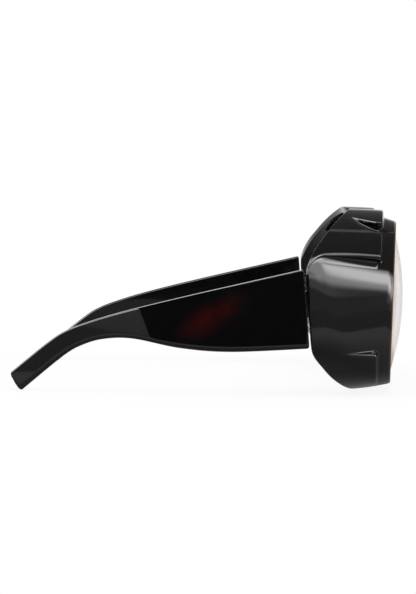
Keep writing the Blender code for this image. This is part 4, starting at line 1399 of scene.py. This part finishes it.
@dataclass
class BarrelHinge:
    """Barrel hinge: five knuckles round a slotted screw, on two leaves that domed rivets hold."""

    barrel_radius: float = 1.8 * MM
    screw_radius: float = 0.8 * MM
    head_radius: float = 1.5 * MM
    head_height: float = 0.8 * MM
    head_round: float = 0.25 * MM
    slot_width: float = 0.4 * MM
    slot_depth: float = 0.35 * MM
    knuckle_height: float = 1.9 * MM
    knuckle_count: int = 5
    gap: float = 0.3 * MM
    leaf_thickness: float = 1.2 * MM
    leaf_length: float = 8.6 * MM
    rivet_radius: float = 0.8 * MM
    rivet_head_radius: float = 1.35 * MM
    rivet_head_height: float = 0.6 * MM
    rivet_edge_share: float = 0.25
    rivet_flat_share: float = 0.05
    rivet_reach: float = 4.0 * MM
    rivet_spacing: float = 4.6 * MM
    rivet_sides: int = 28
    rivet_steps: int = 7
    screw_sides: int = 40
    crown_steps: int = 4

    @property
    def barrel_height(self) -> float:
        """Height of the whole barrel."""
        return self.knuckle_count * self.knuckle_height + (self.knuckle_count - 1) * self.gap

    def rivet_points(self, leaf: Leaf) -> list[Vector]:
        """Where a leaf's two rivets stand.

        Args:
            leaf: the leaf.

        Returns:
            The points where their heads begin, in the left hinge's frame.
        """
        start = self.barrel_radius + self.gap
        along = leaf.value * (start + self.leaf_length) / 2
        level = self.barrel_radius - self.gap - self.leaf_thickness
        return [Vector((level, along, way * self.rivet_spacing / 2)) for way in (-1, 1)]

    def rivet(self) -> Shape:
        """A domed rivet.

        Returns:
            The rivet along +Z, its head's underside at height 0.
        """
        head, height, edge = self.rivet_head_radius, self.rivet_head_height, self.rivet_edge_share
        profile = [(self.rivet_radius, -self.rivet_reach), (self.rivet_radius, 0.0), (head, 0.0)]
        profile += [(head * math.cos(t), height * mix(edge, 1.0, math.sin(t)))
                    for t in quarter(self.rivet_steps)[:-1]]
        return turned(profile + [(head * self.rivet_flat_share, height)], self.rivet_sides)

    def rivet_tree(self) -> bpy.types.NodeTree:
        """Node tree that sets a rivet on each point, turned as the point's own attribute says.

        Returns:
            The tree.
        """
        kinds = {"Points": "Geometry", "Rivet": "Object", "Rivet Scale": "Float"}
        tree, add, given = new_shape_tree("rivets_on_points", kinds)
        points, rivet, scale = (given.outputs[name] for name in kinds)
        pin = add("GeometryNodeObjectInfo", {"Object": rivet}).outputs["Geometry"]
        turn = add("GeometryNodeInputNamedAttribute", ("turn",), data_type="FLOAT_VECTOR")
        placed = add("GeometryNodeInstanceOnPoints", {
            "Points": points, "Instance": pin, "Scale": scale,
            "Rotation": add("FunctionNodeEulerToRotation", (turn,))})
        end_shape_tree(add, placed, given)
        return tree

    def build_rivets(self, name: str, body: str, seats: list[tuple[Leaf, Side]], hinge_place: Matrix,
                     material: bpy.types.Material) -> bpy.types.Object:
        """Build one body's rivets as one mesh.

        Args:
            name: the piece's name.
            body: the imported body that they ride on.
            seats: the leaves whose rivets they are.
            hinge_place: the left hinge's frame in its final place.
            material: the steel finish.

        Returns:
            The finished piece.
        """
        points, turns, nodes = [], [], []
        for leaf, side in seats:
            heading = hinge_place.to_3x3() @ Vector((-1, 0, 0))
            heading.x *= side.value
            spots, _ = sided(moved((self.rivet_points(leaf), []), hinge_place), side)
            points += spots
            turns += list(heading.to_track_quat("Z", "Y").to_euler()) * len(spots)
            nodes += [f"{leaf.word}_rivet_{level}_{side.word}" for level in ("upper", "lower")]
        pieces = new_object(name, (points, []))
        pieces.data.attributes.new("turn", "FLOAT_VECTOR", "POINT").data.foreach_set("vector", turns)
        pin = new_object("one_rivet", self.rivet())
        shaped_by(pieces, self.rivet_tree(), {"Rivet": pin, "Rivet Scale": 1.0, "Material": material})
        bpy.data.objects.remove(pin)
        return hand_over(pieces, material, body, "fastener_steel", *nodes)

    def build_screw(self, side: Side, hinge_place: Matrix, material: bpy.types.Material) -> bpy.types.Object:
        """Build one slotted screw and let it ride on the front.

        Args:
            side: the wearer's right or left.
            hinge_place: the left hinge's frame in its final place.
            material: the steel finish.

        Returns:
            The finished piece.
        """
        foot, top = -self.barrel_height / 2, self.barrel_height / 2 + self.gap
        head = top + self.head_height
        profile = [(self.screw_radius, foot), (self.screw_radius, top), (self.head_radius, top)]
        profile += [(self.head_radius - a, head - b) for a, b in arc(self.head_round, self.crown_steps)]
        screw = new_object(f"hinge_pin_{side.word}", turned(profile, self.screw_sides))
        long, half, floor = 2 * self.head_radius, self.slot_width / 2, head - self.slot_depth
        slot = [[Vector((x * long, y * half, z)) for x, y in ((-1, -1), (1, -1), (1, 1), (-1, 1))]
                for z in (floor, floor + self.head_height)]
        with_boolean(screw, tube(slot), "DIFFERENCE")
        screw.data.transform(hinge_place)
        flip(screw.data, side)
        return hand_over(screw, material, "front", "fastener_steel", f"hinge_screw_{side.word}")


# The studio


@dataclass(frozen=True)
class Patch:
    """A soft-edged area of the room that shows in reflections.

    Directions are seen from the goggles: azimuth 0 is towards the camera, with the back of the goggles at 90
    and their front at -90, and height is above the horizon. soft is half the width of its edges, across and
    upwards, and slope raises the patch towards the back.
    """

    level: float
    azimuth: Pair
    height: Pair
    soft: Pair
    slope: float = 0.0


SOFTBOX = (
    Patch(4.6, (-62.0, 10.0), (25.5, 53.0), (4.0, 4.0), 0.4),
    Patch(7.5, (-44.0, -16.0), (32.5, 48.5), (2.5, 4.0), 0.4),
    Patch(2.5, (-9.5, 10.0), (18.5, 24.0), (2.0, 2.0)),
    Patch(1.6, (-66.0, -17.0), (13.5, 22.0), (2.5, 3.0)),
    Patch(0.7, (-66.0, -17.0), (2.0, 22.0), (2.0, 3.0)),
    Patch(0.7, (-15.0, 10.0), (10.5, 22.0), (2.0, 2.0)),
    Patch(11.0, (12.0, 84.0), (4.0, 52.0), (3.0, 3.0)),
)
ROOM = (
    Patch(0.4, (-75.0, -38.0), (-9.0, 24.0), (10.0, 8.0)),
    Patch(0.15, (-60.0, 40.0), (-8.0, 10.0), (10.0, 4.0)),
    Patch(0.17, (8.0, 21.0), (-75.0, 14.0), (3.0, 8.0)),
    Patch(0.9, (140.0, 181.0), (78.0, 82.0), (1.0, 1.0)),
    Patch(0.9, (-181.0, -110.0), (78.0, 82.0), (1.0, 1.0)),
)


@dataclass
class Studio:
    """Pale floor and surroundings, a soft lamp, a black card and the camera of the side view."""

    focus: Triple = (0.0, 0.0, 0.04)
    floor_reach: float = 0.36
    floor_sides: int = 96
    floor_colour: str = "#F2F2F2"
    floor_roughness: float = 0.9
    floor_white_from: float = 0.08
    floor_white_by: float = 0.2
    floor_white_near: float = 0.9
    floor_glints: tuple[Pair, ...] = ((0.0, 0.22), (0.1, 0.22), (0.14, 0.7), (0.163, 0.7), (0.17, 0.2))
    room_level: float = 0.2
    plain_level: float = 0.55
    backdrop_full: float = 0.5
    backdrop_height: Pair = (5.0, 26.0)
    flag_place: float = -0.0885
    flag_front: float = -0.0428
    flag_back: Pair = (0.0253, 0.0401)
    flag_height: Pair = (0.0205, 0.0575)
    flag_colour: str = "#060505"
    flag_red: str = "#FF2028"
    flag_red_spot: Triple = (-0.0885, -0.0004, 0.0327)
    flag_red_reach: Triple = (1.0, 0.0208, 0.008)
    flag_red_lean: float = -32.0
    flag_fold_length: float = 14 * MM
    flag_fold_from: Pair = (0.4, 0.6)
    flag_fold_levels: Pair = (0.25, 0.75)
    lamp_place: Triple = (-0.25, -0.1, 0.9)
    lamp_size: Pair = (0.9, 0.7)
    lamp_power: float = 6.0
    camera_place: Triple = (-0.8805, -0.0267, 0.0920)
    camera_azimuth: float = 271.99
    camera_height: float = 3.5
    camera_tilt: float = 0.97
    clip: Pair = (0.05, 50.0)
    sensor: float = 24.0
    focal: float = 75.167
    shift_y: float = 0.0012

    def straight(self, add: Adder) -> bpy.types.Node:
        """Tell rays that come from the camera or have passed a lens from others.

        Args:
            add: what adds a node to the tree.

        Returns:
            The node that gives 1 for such rays and 0 for others.
        """
        ray = add("ShaderNodeLightPath").outputs
        through = add(MATH, (ray["Transmission Depth"], 1.0), "MINIMUM")
        return add(MATH, (ray["Is Camera Ray"], through), "MAXIMUM")

    def floor(self) -> bpy.types.Object:
        """Build the plain pale floor, which fades to the backdrop's white but keeps the goggles' shadow.

        Returns:
            The floor.
        """
        ring = circle(self.floor_reach, 0, self.floor_sides)
        floor = new_object("floor", (ring, [tuple(range(self.floor_sides))]))
        material, add, shader = new_material("pale_paper_floor")
        plug(shader, {"Base Color": linear(self.floor_colour), "Roughness": self.floor_roughness,
                      "Specular IOR Level": 0.0})
        place = add("ShaderNodeTexCoord").outputs["Object"]
        away = add(VECTOR_MATH, (place,), "LENGTH")
        fade = (self.floor_white_from, self.floor_white_by, self.floor_white_near, 1.0)
        white = add(MAP_RANGE, (away, *fade), interpolation_type="SMOOTHSTEP")
        straight = self.straight(add)
        glossy = add("ShaderNodeLightPath").outputs["Is Glossy Ray"]
        share = add(MATH, (add(MATH, (white, straight), "MULTIPLY"), glossy), "MAXIMUM")
        glint = add("ShaderNodeFloatCurve", {"Value": away})
        glint.mapping.extend = "HORIZONTAL"
        curve = glint.mapping.curves[0]
        for spot, level in self.floor_glints[1:-1]:
            curve.points.new(spot, level)
        curve.points[0].location, curve.points[-1].location = self.floor_glints[0], self.floor_glints[-1]
        for point in curve.points:
            point.handle_type = "VECTOR"
        glint.mapping.update()
        beyond = add(MAP_RANGE, (add(SPLIT, (place,)), 0.0, self.floor_white_from))
        shine = add(MATH, (glint, beyond), "MAXIMUM")
        glow = add("ShaderNodeEmission", {"Color": WHITE, "Strength": add(MIX, (straight, shine, 1.0))})
        plug(material.node_tree.nodes["Material Output"], {
            "Surface": add("ShaderNodeMixShader", (share, shader, glow))})
        floor.data.materials.append(material)
        return floor

    def flag(self) -> bpy.types.Object:
        """Build a black card that shows only in reflections, where it keeps the temple's face dark.

        Returns:
            The card, with a red glow in the folds of its cloth.
        """
        (foot_back, top_back), (foot, top), front = self.flag_back, self.flag_height, self.flag_front
        corners = ((front, foot), (foot_back, foot), (top_back, top), (front, top))
        flag = new_object("flag", ([Vector((self.flag_place, y, z)) for y, z in corners], [(0, 1, 2, 3)]))
        material, add, shader = new_material("black_flag_cloth")
        place = add("ShaderNodeTexCoord").outputs["Object"]
        folds = add(NOISE, pattern(self.flag_fold_length, place, Detail=2.0))
        leaning = add("ShaderNodeMapping", {
            "Vector": place, "Location": self.flag_red_spot, "Scale": self.flag_red_reach,
            "Rotation": (math.radians(self.flag_red_lean), 0.0, 0.0)}, vector_type="TEXTURE")
        off_spot = add(VECTOR_MATH, (leaning,), "LENGTH")
        spot = add(MAP_RANGE, (off_spot, 0.0, 1.0, 1.0, 0.0), interpolation_type="SMOOTHSTEP")
        fold = add(MAP_RANGE, (folds, *self.flag_fold_from, *self.flag_fold_levels))
        plug(shader, {
            "Base Color": linear(self.flag_colour), "Roughness": 1.0, "Emission Color": linear(self.flag_red),
            "Emission Strength": add(MATH, (spot, fold), "MULTIPLY")})
        flag.data.materials.append(material)
        for ray in ("camera", "diffuse", "transmission", "volume_scatter", "shadow"):
            setattr(flag, f"visible_{ray}", False)
        return flag

    def window(self, add: Adder, value: bpy.types.Node, ends: Pair, soft: float) -> bpy.types.Node:
        """Tell values between two ends from others.

        Args:
            add: what adds a node to the tree.
            value: the node that gives the value.
            ends: the two ends.
            soft: half the width over which it changes at each end.

        Returns:
            The node that gives 1 between the ends and 0 outside them.
        """
        enter, leave = (add(MAP_RANGE, (value, end - soft, end + soft), interpolation_type="SMOOTHSTEP")
                        for end in ends)
        return add(MATH, (enter, add(MATH, (1.0, leave), "SUBTRACT")), "MULTIPLY")

    def surroundings(self) -> bpy.types.World:
        """Build what surrounds the goggles.

        Returns:
            The world: white for straight rays, an even grey for light, and in reflections a dim room with
            soft patches and a white backdrop.
        """
        world = bpy.data.worlds.new("studio")
        bpy.context.scene.world = world
        world.use_nodes = True
        add = partial(add_node, world.node_tree)
        axes = add(SPLIT, (add("ShaderNodeTexCoord").outputs["Generated"],)).outputs
        towards = add(MATH, (axes["X"], -1.0), "MULTIPLY")
        azimuth = add(MATH, (add(MATH, (axes["Y"], towards), "ARCTAN2"),), "DEGREES")
        height = add(MATH, (add(MATH, (axes["Z"],), "ARCSINE"),), "DEGREES")
        level: float | bpy.types.Node = self.room_level
        for patch in SOFTBOX + ROOM:
            leaning = add(MATH, (height, add(MATH, (azimuth, patch.slope), "MULTIPLY")), "SUBTRACT")
            across = self.window(add, azimuth, patch.azimuth, patch.soft[0])
            upwards = self.window(add, leaning, patch.height, patch.soft[1])
            level = add(MATH, (add(MATH, (across, upwards), "MULTIPLY"), patch.level, level), "MULTIPLY_ADD")
        beyond = add(MAP_RANGE, (axes["X"], 0.0, self.backdrop_full), interpolation_type="SMOOTHSTEP")
        above = add(MAP_RANGE, (height, *self.backdrop_height), interpolation_type="SMOOTHSTEP")
        backdrop = add(MATH, (beyond, add(MATH, (1.0, above), "SUBTRACT")), "MULTIPLY")
        glossy = add("ShaderNodeLightPath").outputs["Is Glossy Ray"]
        lit = add(MIX, (glossy, self.plain_level, add(MIX, (backdrop, level, 1.0))))
        plug(world.node_tree.nodes["Background"], {
            "Color": WHITE, "Strength": add(MIX, (self.straight(add), lit, 1.0))})
        return world

    def lamp(self) -> bpy.types.Object:
        """Build a soft lamp overhead that faces the goggles.

        Returns:
            The lamp; the second of its sizes runs upwards.
        """
        data = bpy.data.lights.new("overhead_softbox", "AREA")
        data.shape, data.energy = "RECTANGLE", self.lamp_power
        data.size, data.size_y = self.lamp_size
        lamp = in_scene(bpy.data.objects.new(data.name, data))
        lamp.location = self.lamp_place
        lamp.rotation_euler = (Vector(self.focus) - lamp.location).to_track_quat("-Z", "Y").to_euler()
        lamp.visible_glossy = False
        return lamp

    def camera(self) -> bpy.types.Object:
        """Build the camera at the side view's place and angle.

        Returns:
            The camera.
        """
        data = bpy.data.cameras.new("side_view")
        data.sensor_fit, data.sensor_height, data.lens = "VERTICAL", self.sensor, self.focal
        data.shift_y = self.shift_y
        data.clip_start, data.clip_end = self.clip
        turn, rise = self.camera_azimuth, self.camera_height
        forward = Vector((-sine(turn) * cosine(rise), cosine(turn) * cosine(rise), -sine(rise)))
        right = Vector((cosine(turn), sine(turn), 0))
        tilt = Matrix.Rotation(-math.radians(self.camera_tilt), 3, "X")
        axes = Matrix([tilt @ v for v in (right, right.cross(forward), -forward)]).transposed()
        camera = in_scene(bpy.data.objects.new(data.name, data))
        camera.matrix_world = Matrix.Translation(self.camera_place) @ axes.to_4x4()
        bpy.context.scene.camera = camera
        return camera

    def build(self) -> None:
        """Set up the floor, card, surroundings, lamp and camera."""
        bpy.context.scene.view_settings.view_transform = "Standard"
        for part in (self.floor, self.flag, self.surroundings, self.lamp, self.camera):
            part()


def main() -> None:
    """Build the goggles' pieces in order and report each one."""
    logging.basicConfig(level=logging.INFO, format="%(name)s: %(message)s")
    cup = CupShape()
    joints = {joint["name"]: joint for joint in frame["joints"]}
    origin = Vector(joints["left_temple_fold"]["pos_m"]) - cup.hinge
    butt_turn = Matrix.Rotation(-math.radians(cup.sizes.butt_lean), 4, "X")
    hinge_local = Matrix.Translation(cup.hinge) @ butt_turn
    hinge_place = Matrix.Translation(origin) @ hinge_local
    sizes = cup.sizes
    gloss = GlossMoulding().material(origin + cup.centre, cup.back, sizes.rim_radius - sizes.rim_round)
    clear, nickel, steel = (finish.material() for finish in (ClearLens(), BrightMetal(), TURNED_STEEL))

    lens, temple, hinge = DomedLens(cup, origin), Temple(sizes), BarrelHinge()
    pieces = [FrontMoulding(cup, hinge, origin).build(gloss, hinge_local)]
    lens_tree = lens.tree()
    for side in Side:
        pieces.append(lens.build(side, lens_tree, clear))
        pieces.append(temple.build(side, gloss, hinge_place))
        pieces.append(hinge.build_screw(side, hinge_place, steel))
        pieces.append(hinge.build_rivets(f"temple_rivets_{side.word}", f"{side.word}_temple",
                                         [(Leaf.TEMPLE, side)], hinge_place, steel))
    seats = [(Leaf.FRONT, side) for side in Side]
    pieces.append(hinge.build_rivets("front_rivets", "front", seats, hinge_place, steel))
    # The leaves get the darkened nickel: partly dark plating, partly painted shade for the gap between cup and
    # temple where they sit.
    for name, node in frame["nodes"].items():
        if "leaf" in name:
            node.data.materials.clear()
            node.data.materials.append(nickel)
    for piece in pieces:
        LOG.info("%s: %d faces", piece.name, len(piece.data.polygons))

    Studio().build()


if __name__ == "__main__":
    main()
